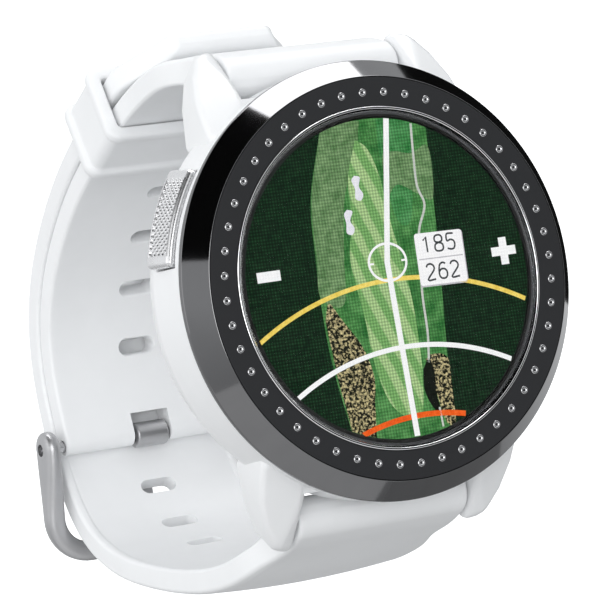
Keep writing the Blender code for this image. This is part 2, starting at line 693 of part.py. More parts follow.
def buckle_route(tail):
    """The buckle half: its own start, then the inside of the tail half down to the pivot."""
    depth = STRAP_THICKNESS + LAYER_GAP
    start = tail.nearest((JOIN_Y, 23.8 * MM))
    inside = []
    s = start
    while True:
        position = tail.at(s)[0] - outward(tail, s) * depth
        if position[1] < PIVOT_Z:
            break
        inside.append(tuple(position))
        s -= 4.0 * MM
    last, before = np.array(inside[-1]), np.array(inside[-2])
    step = (last - before) / np.linalg.norm(last - before)
    reach = (PIVOT_Z - last[1]) / step[1]
    inside[-1] = tuple(last + step * reach)
    return Route(route_in_mm(BUCKLE_HALF_ROUTE) + inside)


def ribbon(name, stations, material=None, cutter=False, chamfer=0.45 * MM):
    """A closed band through (position, normal, half width, half thickness, crown) stations."""
    bm = bmesh.new()
    rows = []
    for position, normal, half, thick, crown in stations:
        cut = min(chamfer, thick * 0.6)
        shoulder = cut + crown * 1.6
        outline = [(half, thick - cut), (half - shoulder, thick), (half * 0.5, thick + crown),
                   (-half * 0.5, thick + crown), (shoulder - half, thick), (-half, thick - cut),
                   (-half, cut - thick), (cut - half, -thick), (half - cut, -thick),
                   (half, cut - thick)]
        if crown == 0:
            outline[2:4] = [(half * 0.3, thick), (-half * 0.3, thick)]
        rows.append([bm.verts.new((x, position[0] + normal[0] * t, position[1] + normal[1] * t))
                     for x, t in outline])
    count = len(rows[0])
    for a, b in zip(rows, rows[1:]):
        for k in range(count):
            bm.faces.new((a[k], a[(k + 1) % count], b[(k + 1) % count], b[k]))
    bm.faces.new(rows[0])
    bm.faces.new(rows[-1])
    return place(name, mesh_of(name, bm), material, cutter=cutter)


def smoothstep(a, b, x):
    t = min(max((x - a) / (b - a), 0.0), 1.0)
    return t * t * (3 - 2 * t)


def nose_stations(radius, count=5):
    """(distance from the round end's centre, half thickness) round the nose."""
    angles = [math.radians(15 + 75 * i / (count - 1)) for i in range(count)]
    return [(-radius * math.cos(a), radius * math.sin(a)) for a in angles]


def body_half_thickness(s):
    """The strap thins from its nose at the lug to the band."""
    thin = STRAP_THICKNESS / 2
    return NOSE_RADIUS + (thin - NOSE_RADIUS) * smoothstep(1.0 * MM, 9.0 * MM, s)


def lug_half_width(s):
    flare = smoothstep(*STRAP_FLARE, s)
    return STRAP_HALF_AT_LUG + (STRAP_HALF - STRAP_HALF_AT_LUG) * flare


def flat(s):
    return 0.0


def band_stations(route, start, end, half_width, half_thickness, crown=flat):
    count = max(2, round((end - start) / STATION_STEP))
    rows = []
    for i in range(count + 1):
        s = start + (end - start) * i / count
        rows.append((route.at(s)[0], outward(route, s), half_width(s), half_thickness(s),
                     crown(s)))
    return rows


def slot_cutter(name, route, places):
    """Stadium slots through the band at the given lengths along its centre line."""
    bm = bmesh.new()
    round_end = SLOT_HEIGHT / 2
    straight = SLOT_LENGTH / 2 - round_end
    outline = []
    for side in (1, -1):
        for k in range(5):
            angle = math.radians(-90 + 45 * k) + (0 if side == 1 else math.pi)
            outline.append((side * straight + round_end * math.cos(angle),
                            round_end * math.sin(angle)))
    for s in places:
        position, direction, _ = route.at(s)
        normal = outward(route, s)
        caps = []
        for depth in (-3 * MM, 3 * MM):
            caps.append([bm.verts.new((x, *(position + direction * a + normal * depth)))
                         for x, a in outline])
        count = len(outline)
        for k in range(count):
            n = (k + 1) % count
            bm.faces.new((caps[0][k], caps[0][n], caps[1][n], caps[1][k]))
        bm.faces.new(caps[0])
        bm.faces.new(caps[1])
    return place(name, mesh_of(name, bm), cutter=True)


def across(name, radius, half, centre, sides=20, cutter=True, material=None):
    """A cylinder along X."""
    return rod(name, radius, 2 * half, centre, (1, 0, 0), material, sides=sides, cutter=cutter)


def make_tail_half(tail, pivot, material):
    """The long half: slots all along, and a tail that narrows to a flat end."""
    def half_width(s):
        taper = smoothstep(tail.total - TAIL_TAPER, tail.total, s)
        return lug_half_width(s) + (TAIL_HALF - STRAP_HALF) * taper

    def crown(s):
        return CROWN * smoothstep(3 * MM, 9 * MM, s) * (1 - smoothstep(24 * MM, 40 * MM, s))

    stations = [(tail.at(s)[0], outward(tail, 0), STRAP_HALF_AT_LUG, half, 0.0)
                for s, half in nose_stations(NOSE_RADIUS)]
    stations += band_stations(tail, 1.0 * MM, tail.total, half_width, body_half_thickness, crown)
    strap = ribbon("strap_tail_half", stations, material)
    bore = across("tail_bar_bore", BAR_TUBE_RADIUS + 0.15 * MM, 12 * MM,
                  (0, -BAR_HEIGHT, -BAR_Z), 16)
    boolean(strap, bore)
    tongue_slot = tail.nearest(pivot[1:]) + TONGUE_PLAY
    first = tongue_slot - 3 * SLOT_PITCH
    places = [first + SLOT_PITCH * i for i in range(30)
              if first + SLOT_PITCH * i < tail.total - 6 * MM]
    boolean(strap, slot_cutter("tail_slots", tail, places))
    return strap


def make_buckle_half(route, material):
    """The short half: narrows to a round end that carries the buckle's pin."""
    end = route.total

    def half_width(s):
        narrow = smoothstep(end - 32 * MM, end - 4 * MM, s)
        return lug_half_width(s) + (BUCKLE_END_HALF - STRAP_HALF) * narrow

    stations = [(route.at(s)[0], outward(route, 0), STRAP_HALF_AT_LUG, half, 0.0)
                for s, half in nose_stations(NOSE_RADIUS)]
    stations += band_stations(route, 1.0 * MM, end - 0.4 * MM, half_width, body_half_thickness)
    thin = STRAP_THICKNESS / 2
    stations += [(route.at(end - d)[0], outward(route, end - d), BUCKLE_END_HALF, h, 0.0)
                 for d, h in reversed(nose_stations(thin))]
    strap = ribbon("strap_buckle_half", stations, material)
    pivot = (0, *route.at(end)[0])
    boolean(strap, across("buckle_bar_bore", BAR_TUBE_RADIUS + 0.15 * MM, 12 * MM,
                          (0, -BAR_HEIGHT, BAR_Z), 16))
    boolean(strap, across("pin_bore", PIN_RADIUS + 0.12 * MM, 12 * MM, pivot, 16))
    notch = box("tongue_notch", (2 * NOTCH_HALF, 6 * MM, NOTCH_DEPTH + 4 * MM),
                (0, pivot[1], pivot[2] + (NOTCH_DEPTH - 4 * MM) / 2), cutter=True)
    boolean(strap, notch)
    slots = [end - 10.4 * MM - BUCKLE_SLOT_PITCH * i for i in range(5)]
    boolean(strap, slot_cutter("buckle_half_slots", route, slots))
    return strap


def bake(obj, name, material):
    """Turn an evaluated object, or a curve with caps, into a plain welded mesh part."""
    bpy.context.view_layer.update()
    graph = bpy.context.evaluated_depsgraph_get()
    mesh = bpy.data.meshes.new_from_object(obj.evaluated_get(graph))
    mesh.transform(obj.matrix_world)
    bpy.data.objects.remove(obj, do_unlink=True)
    bm = bmesh.new()
    bm.from_mesh(mesh)
    bpy.data.meshes.remove(mesh)
    bmesh.ops.remove_doubles(bm, verts=bm.verts, dist=0.001 * MM)
    mesh = mesh_of(name, bm)
    mesh.materials.clear()
    return place(name, mesh, material)


def make_frame(pivot, material):
    """The buckle's U: two tapering arms, round corners and the far bar, with a boss each side."""
    foot = FAR_BAR_CENTRE
    down = (foot - Vector(pivot))
    down.x = 0
    length = down.length
    down.normalize()
    curve = bpy.data.curves.new("frame", "CURVE")
    curve.dimensions = "3D"
    curve.bevel_depth = 1.0
    curve.bevel_resolution = 2
    curve.use_fill_caps = True
    half_side = [(ARM_X, 0.4 * MM, ARM_RADIUS), (ARM_X, 3.0 * MM, ARM_RADIUS * 0.97),
                 (ARM_X, length - CORNER_RADIUS, FAR_BAR_RADIUS)]
    for k in range(1, 5):
        angle = math.radians(90 * k / 4)
        half_side.append((ARM_X - CORNER_RADIUS * (1 - math.cos(angle)),
                          length - CORNER_RADIUS * (1 - math.sin(angle)), FAR_BAR_RADIUS))
    rows = [(-x, d, r) for x, d, r in half_side] + [(x, d, r) for x, d, r in reversed(half_side)]
    spline = curve.splines.new("POLY")
    spline.points.add(len(rows) - 1)
    for point, (x, d, r) in zip(spline.points, rows):
        position = Vector(pivot) + down * d
        point.co = (x, position.y, position.z, 1)
        point.radius = r
    tube = bpy.data.objects.new("frame", curve)
    bpy.data.collections[PART].objects.link(tube)
    frame = bake(tube, "buckle_frame", material)
    for side in (-1, 1):
        boss = across("frame_boss", BOSS_RADIUS, BOSS_HALF,
                      (side * (PIN_HALF - BOSS_HALF), pivot[1], pivot[2]), 20)
        soften(boss, 0.3 * MM, 1)
        boolean(frame, boss, "UNION")
    boolean(frame, across("frame_bore", PIN_RADIUS + 0.1 * MM, 20 * MM, pivot, 16))
    return frame


def make_tongue(pivot, tail, material):
    """A loop round the pin, then a strip out through the slot and down to the far bar."""
    p = np.array(pivot[1:])
    out = outward(tail, tail.nearest(p))
    down = np.array((out[1], -out[0]))
    half = TONGUE_THICKNESS / 2
    run = LAYER_GAP + 1.5 * STRAP_THICKNESS + TONGUE_CLEAR + half
    turn = p + out * (run - TONGUE_BEND) + down * TONGUE_BEND
    line = [p + out * d for d in (1.1 * MM, 2.3 * MM, run - TONGUE_BEND)]
    for k in range(1, 5):
        angle = math.radians(86 * k / 4)
        line.append(turn + (out * math.sin(angle) - down * math.cos(angle)) * TONGUE_BEND)
    foot = np.array(FAR_BAR_CENTRE[1:])
    rest = (foot - p) / np.linalg.norm(foot - p)
    side = np.array((-rest[1], rest[0]))
    over = foot + side * (FAR_BAR_RADIUS + 0.15 * MM + half)
    line += [line[-1] * (1 - t) + over * t for t in (0.35, 0.7)]
    line += [over, over + rest * 1.4 * MM - side * 0.1 * MM]
    stations = []
    for i, position in enumerate(line):
        a, b = line[max(i - 1, 0)], line[min(i + 1, len(line) - 1)]
        d = (b - a) / np.linalg.norm(b - a)
        share = i / (len(line) - 1)
        stations.append((position, np.array((-d[1], d[0])), TONGUE_STRIP_HALF - 0.2 * MM * share,
                         half, 0.0))
    strip = ribbon("buckle_tongue", stations, material, chamfer=0.2 * MM)
    boolean(strip, across("tongue_loop", 1.45 * MM, TONGUE_HALF, pivot, 20), "UNION")
    boolean(strip, across("tongue_bore", PIN_RADIUS + 0.1 * MM, 6 * MM, pivot, 16))
    return strip


def rounded_rectangle(half_x, half_y, radius, steps=3):
    points = []
    for quarter, (sx, sy) in enumerate(((1, 1), (-1, 1), (-1, -1), (1, -1))):
        for k in range(steps + 1):
            angle = math.pi / 2 * (quarter + k / steps)
            points.append((sx * (half_x - radius) + radius * math.cos(angle),
                           sy * (half_y - radius) + radius * math.sin(angle)))
    return points


def make_keeper(tail, material):
    """The free loop round both layers: an extruded rounded frame."""
    centre, along, normal = keeper_frame(tail)
    inner_x = STRAP_HALF + 0.3 * MM
    inner_t = STRAP_THICKNESS + LAYER_GAP / 2 + 0.3 * MM
    curve = bpy.data.curves.new("keeper", "CURVE")
    curve.dimensions = "2D"
    curve.fill_mode = "BOTH"
    curve.extrude = KEEPER_LENGTH / 2
    for half_x, half_t, radius in ((inner_x + KEEPER_WALL, inner_t + KEEPER_WALL, 1.4 * MM),
                                   (inner_x, inner_t, 0.5 * MM)):
        outline = rounded_rectangle(half_x, half_t, radius)
        spline = curve.splines.new("POLY")
        spline.points.add(len(outline) - 1)
        for point, (x, t) in zip(spline.points, outline):
            point.co = (x, t, 0, 1)
        spline.use_cyclic_u = True
    loop = bpy.data.objects.new("keeper", curve)
    bpy.data.collections[PART].objects.link(loop)
    loop.matrix_world = Matrix((
        (1, 0, 0, 0),
        (0, normal[0], along[0], centre[0]),
        (0, normal[1], along[1], centre[1]),
        (0, 0, 0, 1)))
    keeper = bake(loop, "keeper_loop", material)
    return keeper


def keeper_frame(tail):
    s = tail.nearest((24.6 * MM, 23.6 * MM))
    position, direction, _ = tail.at(s)
    normal = outward(tail, s)
    centre = position - normal * (STRAP_THICKNESS + LAYER_GAP) / 2
    return centre, -direction, normal


def main():
    clear_scene()
    finishes = {
        "white": finish("white_silicone", (0.86, 0.87, 0.88), 0.55),
        "polymer": finish("white_polymer", (0.87, 0.88, 0.89), 0.35),
        "plastic": finish("back_plastic", (0.80, 0.81, 0.82), 0.45),
        "gunmetal": finish("polished_gunmetal", (0.22, 0.22, 0.23), 0.12, 1.0),
        "black": finish("matte_black", (0.03, 0.03, 0.032), 0.5),
        "glass": finish("glass", (0.9, 0.95, 0.95), 0.02, 0.0, 0.25),
        "display": finish("display", (0.02, 0.12, 0.04), 0.3),
        "rubber": finish("seal_rubber", (0.03, 0.03, 0.03), 0.8),
        "grey": finish("chassis_plastic", (0.12, 0.12, 0.13), 0.6),
        "board": finish("circuit_board", (0.02, 0.16, 0.06), 0.5),
        "chip": finish("chip_black", (0.02, 0.02, 0.02), 0.5),
        "ceramic": finish("antenna_ceramic", (0.75, 0.72, 0.62), 0.6),
        "foil": finish("battery_foil", (0.7, 0.7, 0.72), 0.3, 0.8),
        "flex": finish("flex_amber", (0.55, 0.30, 0.06), 0.45),
        "steel": finish("steel", (0.60, 0.60, 0.61), 0.25, 1.0),
        "satin": finish("satin_steel", (0.62, 0.62, 0.63), 0.32, 1.0),
        "gold": finish("contact_gold", (0.85, 0.65, 0.28), 0.25, 1.0),
        "tungsten": finish("weight_grey", (0.35, 0.35, 0.37), 0.4, 1.0),
    }
    head = bpy.data.objects.new("watch_head", None)
    bpy.data.collections[PART].objects.link(head)
    head.rotation_euler = (HEAD_HALF_TURN, 0, 0)

    make_case(head, finishes["polymer"])
    make_face(head, finishes)
    make_chassis(head, finishes)
    make_board(head, finishes)
    make_flex(head, finishes)
    make_motor(head, finishes)
    make_back(head, finishes)
    make_button(head, finishes)
    make_spring_bar("12", 1, finishes)
    make_spring_bar("6", -1, finishes)

    tail = tail_route()
    short = buckle_route(tail)
    pivot = (0, *short.at(short.total)[0])
    re_origin(make_tail_half(tail, pivot, finishes["white"]), (0, -BAR_HEIGHT, -BAR_Z))
    re_origin(make_buckle_half(short, finishes["white"]), (0, -BAR_HEIGHT, BAR_Z))
    re_origin(make_keeper(tail, finishes["white"]), (0, *keeper_frame(tail)[0]))
    re_origin(make_frame(pivot, finishes["satin"]), pivot)
    re_origin(make_tongue(pivot, tail, finishes["satin"]), pivot)
    across("buckle_pin", PIN_RADIUS, PIN_HALF - LOOSE, pivot, 16, False, finishes["steel"])


main()
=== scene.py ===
"""Golf GPS watch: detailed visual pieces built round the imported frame.

Metres. +X to 3 o'clock, +Z to 12 o'clock, -Y out of the display; the origin is the centre of the
case back. Pieces of the head are worked out as (x, z, height above the case back).
"""
import math

import bmesh
import bpy
import numpy as np
from mathutils import Matrix, Vector


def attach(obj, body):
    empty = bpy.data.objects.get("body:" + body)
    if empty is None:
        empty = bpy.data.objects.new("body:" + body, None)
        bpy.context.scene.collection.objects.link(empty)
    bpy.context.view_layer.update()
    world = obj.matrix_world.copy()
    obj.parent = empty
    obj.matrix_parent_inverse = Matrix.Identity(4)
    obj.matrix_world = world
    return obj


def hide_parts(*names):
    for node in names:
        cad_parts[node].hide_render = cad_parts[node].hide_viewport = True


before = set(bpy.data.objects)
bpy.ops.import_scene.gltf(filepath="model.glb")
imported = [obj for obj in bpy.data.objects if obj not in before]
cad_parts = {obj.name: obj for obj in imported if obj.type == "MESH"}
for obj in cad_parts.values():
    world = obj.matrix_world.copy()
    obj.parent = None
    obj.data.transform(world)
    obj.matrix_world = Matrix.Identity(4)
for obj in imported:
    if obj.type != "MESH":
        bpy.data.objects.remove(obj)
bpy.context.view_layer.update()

MM = 0.001
PIXEL = 0.33 * MM         # pitch of the display's visible pixel rows
SCENE = bpy.context.scene.collection

# Head
BUTTON_ANGLE = math.radians(155.7)
BUTTON_HALF_SPAN = math.radians(13.2)
BUTTON_HEIGHT = 7.4
BUTTON_WIDTH = 3.8
BUTTON_OUTER = 23.3
BUTTON_INNER = 21.5
STEM_OFFSETS = (-3.0, 3.0)
LUG_GAP_HALF = 10.3
BAR_Z, BAR_HEIGHT = 22.7, 2.9
STUD_CIRCLE, STUD_COUNT = 18.8, 48
SCREW_CIRCLE = 17.2
CONTACT_PITCH, CONTACT_ROW_Z = 2.8, -9.5
LIT_R = 16.2              # the display's active circle

# Band
THICK = 2.7
LAYER_GAP = 0.3
HALF_AT_LUG, HALF = 10.0, 11.0
NOSE_R = 2.3
CROWN = 0.55
SLOT_LENGTH, SLOT_HEIGHT = 4.4, 1.8
SLOT_PITCH, BUCKLE_SLOT_PITCH = 6.5, 7.7
TAIL_HALF, TAIL_TAPER = 6.3, 7.5
BUCKLE_END_HALF = 10.9
NOTCH_HALF, NOTCH_DEPTH = 2.35, 2.6
TAIL_ROUTE = [
    (-2.9, -22.7), (3.0, -25.3), (10.0, -27.4), (20.0, -28.1), (30.0, -27.2), (38.5, -25.3),
    (45.0, -21.5), (48.7, -15.5), (50.5, -8.0), (50.6, -0.6), (48.1, 6.2), (42.8, 12.5),
    (34.5, 18.7), (24.2, 23.8), (13.4, 29.1),
]
BUCKLE_ROUTE = [(-2.9, 22.7), (3.2, 24.5), (9.5, 24.9), (15.5, 23.7)]
JOIN_Y = 24.2
PIVOT_Z = -11.8
FAR_BAR = (48.8, -23.9)

# Buckle and keeper
ARM_X, FAR_BAR_R = 12.75, 1.15
BOSS_R, BOSS_HALF_WIDTH = 2.1, 1.0
CORNER_R = 4.2
PIN_R, PIN_HALF = 0.6, 13.35
KEEPER_LENGTH, KEEPER_WALL = 8.4, 1.5


# ---------------------------------------------------------------- materials

def adjust(made, **values):
    """Set a node's own sockets; an underscore in a keyword stands for a space."""
    for name, value in values.items():
        made.inputs[name.replace("_", " ")].default_value = value
    return made


def node(tree, kind, **values):
    return adjust(tree.nodes.new(kind), **values)


def srgb(r, g, b):
    """Linear colour from 0-255 display values."""
    def line(c):
        c /= 255
        return c / 12.92 if c <= 0.04045 else ((c + 0.055) / 1.055) ** 2.4
    return line(r), line(g), line(b), 1.0


def shade(colour, factor):
    return tuple(c * factor for c in colour[:3]) + (1.0,)


def principled(name, **values):
    """A new material, its node tree and its shader."""
    material = bpy.data.materials.new(name)
    material.use_nodes = True
    tree = material.node_tree
    return material, tree, adjust(tree.nodes["Principled BSDF"], **values)


def two_colours(tree, factor, low, high, at=(0.3, 0.7)):
    made = tree.nodes.new("ShaderNodeValToRGB")
    for element, position, colour in zip(made.color_ramp.elements, at, (low, high)):
        element.position = position
        element.color = colour
    tree.links.new(factor, made.inputs["Fac"])
    return made.outputs["Color"]


def between(tree, factor, low, high):
    """A factor of 0 to 1, mapped to low to high."""
    made = node(tree, "ShaderNodeMapRange", To_Min=low, To_Max=high)
    tree.links.new(factor, made.inputs["Value"])
    return made.outputs["Result"]


def surface(name, colour, rough, spread=0.06, grain=3500.0, bump=0.05, depth=0.02, metal=0.0,
            mottle=0.04, **sockets):
    """A Principled finish: fine grain in its bump and roughness, faint mottling in its colour."""
    material, tree, shader = principled(name, Base_Color=colour, Metallic=metal, **sockets)
    place = tree.nodes.new("ShaderNodeTexCoord").outputs["Object"]
    fine = node(tree, "ShaderNodeTexNoise", Scale=grain, Detail=4.0, Roughness=0.6)
    tree.links.new(place, fine.inputs["Vector"])
    if mottle:
        broad = node(tree, "ShaderNodeTexNoise", Scale=grain / 14, Detail=3.0, Roughness=0.5)
        tree.links.new(place, broad.inputs["Vector"])
        tint = two_colours(tree, broad.outputs["Fac"], shade(colour, 1 - mottle),
                           shade(colour, 1 + mottle * 0.5))
        tree.links.new(tint, shader.inputs["Base Color"])
    gloss = between(tree, fine.outputs["Fac"], max(rough - spread, 0.01), min(rough + spread, 1.0))
    tree.links.new(gloss, shader.inputs["Roughness"])
    relief = node(tree, "ShaderNodeBump", Strength=bump, Distance=depth * MM)
    tree.links.new(fine.outputs["Fac"], relief.inputs["Height"])
    tree.links.new(relief.outputs["Normal"], shader.inputs["Normal"])
    return material


def lit(name, low, high, scale=1500.0, stripes=False, ratio=(0.35, 0.65), turn=0.0, grid=0.35):
    """A display colour: light given off, dappled between two colours behind a fine pixel grid."""
    material, tree, shader = principled(
        name, Base_Color=(0.004, 0.004, 0.004, 1), Roughness=0.35, Specular_IOR_Level=0.1,
        Emission_Strength=1.0)
    place = tree.nodes.new("ShaderNodeTexCoord").outputs["Object"]
    turned = node(tree, "ShaderNodeMapping", Rotation=(0, turn, 0))
    tree.links.new(place, turned.inputs["Vector"])
    if stripes:
        texture = node(tree, "ShaderNodeTexWave", Scale=scale, Distortion=1.2, Detail=2.0,
                       Detail_Scale=1.6)
        texture.bands_direction = "X"
    else:
        texture = node(tree, "ShaderNodeTexNoise", Scale=scale, Detail=3.0, Roughness=0.65)
    tree.links.new(turned.outputs["Vector"], texture.inputs["Vector"])
    colour = two_colours(tree, texture.outputs["Fac"], low, high, ratio)
    for direction in ("X", "Z"):
        rows = node(tree, "ShaderNodeTexWave", Scale=0.314 / PIXEL)
        rows.bands_direction = direction
        tree.links.new(place, rows.inputs["Vector"])
        dimmed = tree.nodes.new("ShaderNodeVectorMath")
        dimmed.operation = "SCALE"
        tree.links.new(colour, dimmed.inputs[0])
        tree.links.new(between(tree, rows.outputs["Fac"], 1.0 - grid, 1.0),
                       dimmed.inputs["Scale"])
        colour = dimmed.outputs["Vector"]
    tree.links.new(colour, shader.inputs["Emission Color"])
    return material


SILICONE = srgb(240, 241, 242)
FINISH = {
    "white_silicone": surface("silicone_white", SILICONE, 0.5, 0.07, 5200.0, 0.10, 0.012,
                              mottle=0.012),
    "white_polymer": surface("polymer_white", srgb(238, 239, 240), 0.34, 0.05, 4200.0, 0.06, 0.010,
                             mottle=0.012),
    "back_plastic": surface("plastic_back", srgb(214, 216, 219), 0.45, 0.07, 3000.0, 0.10, 0.012,
                            mottle=0.015),
    "polished_gunmetal": surface("gunmetal_polished", (0.20, 0.20, 0.205, 1), 0.08, 0.02, 2500.0,
                                 0.02, 0.004, metal=1.0),
    "matte_black": surface("insert_matte_black", srgb(29, 30, 33), 0.55, 0.08, 6000.0, 0.12, 0.008),
    "glass": surface("crystal_glass_mineral", (1, 1, 1, 1), 0.015, 0.005, 300.0, 0.002, 0.001,
                     mottle=0.0, Transmission_Weight=1.0, IOR=1.35),
    "seal_rubber": surface("rubber_black", srgb(24, 24, 24), 0.8, 0.08, 3500.0, 0.15, 0.015),
    "chassis_plastic": surface("chassis_grey", srgb(64, 65, 68), 0.6, 0.08, 2600.0, 0.2, 0.02),
    "circuit_board": surface("board_green", srgb(22, 96, 52), 0.42, 0.08, 2200.0, 0.1, 0.02,
                             mottle=0.25),
    "chip_black": surface("chip_epoxy", srgb(26, 26, 28), 0.5, 0.08, 4000.0, 0.12, 0.01),
    "antenna_ceramic": surface("ceramic_cream", srgb(214, 206, 184), 0.55, 0.06, 2600.0, 0.12,
                               0.015),
    "battery_foil": surface("foil_silver", (0.62, 0.62, 0.64, 1), 0.32, 0.1, 1500.0, 0.3, 0.03,
                            metal=0.8),
    "flex_amber": surface("polyimide_amber", srgb(186, 118, 38), 0.4, 0.06, 2500.0, 0.08, 0.01),
    "steel": surface("steel_turned", (0.60, 0.60, 0.61, 1), 0.24, 0.06, 2600.0, 0.06, 0.006,
                     metal=1.0),
    "satin_steel": surface("steel_satin", (0.50, 0.50, 0.51, 1), 0.40, 0.07, 3200.0, 0.10, 0.008,
                           metal=1.0),
    "contact_gold": surface("gold_plate", (0.86, 0.62, 0.26, 1), 0.24, 0.06, 2600.0, 0.06, 0.006,
                            metal=1.0),
    "weight_grey": surface("tungsten_grey", (0.34, 0.34, 0.36, 1), 0.4, 0.08, 2600.0, 0.1, 0.01,
                           metal=1.0),
}
CHROME = surface("chrome_bright", (0.90, 0.90, 0.91, 1), 0.10, 0.03, 2500.0, 0.02, 0.003, metal=1.0)
BUTTON_STEEL = surface("steel_satin_bright", (0.80, 0.80, 0.81, 1), 0.28, 0.06, 3200.0, 0.06,
                       0.005, metal=1.0)
STUD = surface("stud_polished", (0.55, 0.55, 0.56, 1), 0.12, 0.03, 2500.0, 0.02, 0.003, metal=1.0)
BORDER = surface("display_border_black", srgb(8, 9, 9), 0.3, 0.05, 4000.0, 0.03, 0.004)


# ---------------------------------------------------------------- mesh helpers

def lift(x, z, h):
    """From head axes in mm to the frame."""
    return Vector((x, -h, z)) * MM


def polar(radius, angle):
    return radius * math.cos(angle), radius * math.sin(angle)


def new_object(name, mesh):
    obj = bpy.data.objects.new(name, mesh)
    SCENE.objects.link(obj)
    return obj


def to_mesh(name, bm):
    """Weld what meets, turn the faces outward and leave bmesh."""
    bmesh.ops.remove_doubles(bm, verts=bm.verts, dist=0.0002 * MM)
    bmesh.ops.recalc_face_normals(bm, faces=bm.faces)
    mesh = bpy.data.meshes.new(name)
    bm.to_mesh(mesh)
    bm.free()
    return mesh


def applied(obj):
    """Replace an object's mesh by its evaluated one, with no modifiers left."""
    bpy.context.view_layer.update()
    graph = bpy.context.evaluated_depsgraph_get()
    mesh = bpy.data.meshes.new_from_object(obj.evaluated_get(graph))
    obj.modifiers.clear()
    obj.data = mesh
    return obj


def boolean(obj, others, operation="DIFFERENCE"):
    """Join or cut with each of others in turn, and apply."""
    for other in others:
        modifier = obj.modifiers.new("cut", "BOOLEAN")
        modifier.operation = operation
        modifier.object = other
        modifier.solver = "EXACT"
        applied(obj)
        bpy.data.objects.remove(other, do_unlink=True)
    return obj


def bevelled(obj, width, segments, angle):
    """Round the edges that turn by more than angle, in radians."""
    modifier = obj.modifiers.new("round", "BEVEL")
    modifier.width = width * MM
    modifier.segments = segments
    modifier.limit_method = "ANGLE"
    modifier.angle_limit = angle
    return applied(obj)


def piece(obj, name, body, slot, replaces=(), material=None, smooth=38, weighted=True):
    """Name, finish, smooth and hand a finished object to the frame."""
    obj.name = obj.data.name = name
    if material is not False:
        obj.data.materials.clear()
        obj.data.materials.append(material or FINISH[slot])
    obj.data.shade_smooth()
    obj.data.set_sharp_from_angle(angle=math.radians(smooth))
    if weighted:
        modifier = obj.modifiers.new("shading", "WEIGHTED_NORMAL")
        modifier.keep_sharp = True
    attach(obj, body)
    if replaces:
        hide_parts(*replaces)
    return obj


def rounded(points, radius, steps=3, closed=True):
    """Points with each corner replaced by a short arc."""
    out = []
    count = len(points)
    for i, point in enumerate(points):
        p = np.array(point, float)
        if not closed and i in (0, count - 1):
            out.append(tuple(p))
            continue
        a = np.array(points[i - 1], float)
        b = np.array(points[(i + 1) % count], float)
        cut = min(radius, 0.45 * np.linalg.norm(a - p), 0.45 * np.linalg.norm(b - p))
        start = p + (a - p) / np.linalg.norm(a - p) * cut
        end = p + (b - p) / np.linalg.norm(b - p) * cut
        for k in range(steps + 1):
            t = k / steps
            out.append(tuple((1 - t) ** 2 * start + 2 * t * (1 - t) * p + t * t * end))
    return out


def lathe(name, profile, steps=192, closed=True, centre=(0, 0), about=None):
    """A turned solid from (radius, height) points; about(a, b, h) places it off the head's axis."""
    def upright(a, b, h):
        return lift(centre[0] + a, centre[1] + b, h)

    place = about or upright
    bm = bmesh.new()
    rings = [[bm.verts.new(place(*polar(r, math.tau * i / steps), h)) for r, h in profile]
             for i in range(steps)]
    count = len(profile)
    for i, a in enumerate(rings):
        b = rings[(i + 1) % steps]
        for k in range(count if closed else count - 1):
            n = (k + 1) % count
            bm.faces.new((a[k], a[n], b[n], b[k]))
    bmesh.ops.remove_doubles(bm, verts=bm.verts, dist=0.0005 * MM)
    degenerate = [f for f in bm.faces if f.calc_area() < 1e-14]
    bmesh.ops.delete(bm, geom=degenerate, context="FACES_ONLY")
    return new_object(name, to_mesh(name, bm))


def loft(name, sections):
    """A closed skin with flat ends through equal-length sections of points in the frame."""
    bm = bmesh.new()
    rows = [[bm.verts.new(p) for p in section] for section in sections]
    count = len(rows[0])
    for a, b in zip(rows, rows[1:]):
        for k in range(count):
            bm.faces.new((a[k], a[(k + 1) % count], b[(k + 1) % count], b[k]))
    bm.faces.new(rows[0])
    bm.faces.new(rows[-1])
    return new_object(name, to_mesh(name, bm))


def across(radius, half, y, z, steps=48, edge=0.0, name="rod"):
    """A round rod along X."""
    profile = [(0, half), (radius, half), (radius, -half), (0, -half)]
    if edge:
        profile = rounded(profile, edge, 3, closed=False)
    return lathe(name, profile, steps, closed=False,
                 about=lambda a, b, h: Vector((h, y + a, z + b)) * MM)


def joined_mesh(name, objects):
    """One object from several, each keeping its own closed surface."""
    bm = bmesh.new()
    for obj in objects:
        bm.from_mesh(obj.data)
        bpy.data.objects.remove(obj, do_unlink=True)
    mesh = bpy.data.meshes.new(name)
    bm.to_mesh(mesh)
    bm.free()
    return new_object(name, mesh)


def smoothstep(a, b, x):
    t = min(max((x - a) / (b - a), 0.0), 1.0)
    return t * t * (3 - 2 * t)


def mirrored(right):
    """A closed outline from its right half."""
    return right + [(-x, t) for x, t in reversed(right[1:-1])]


def section_at(position, normal, outline):
    """An (x, t) outline set at a (y, z) position, with t along the normal."""
    return [Vector((x, position[0] + normal[0] * t, position[1] + normal[1] * t)) * MM
            for x, t in outline]


def stem_place(offset):
    """Where lathe() puts a turned shape of the button's stems: h runs out from the head's axis."""
    c, s = polar(1.0, BUTTON_ANGLE)

    def about(a, b, h):
        return lift(c * h - s * (offset + a), s * h + c * (offset + a), BUTTON_HEIGHT + b)

    return about


# ---------------------------------------------------------------- watch head

def screw_places():
    return [polar(SCREW_CIRCLE, math.radians(45 + 90 * i)) for i in range(4)]


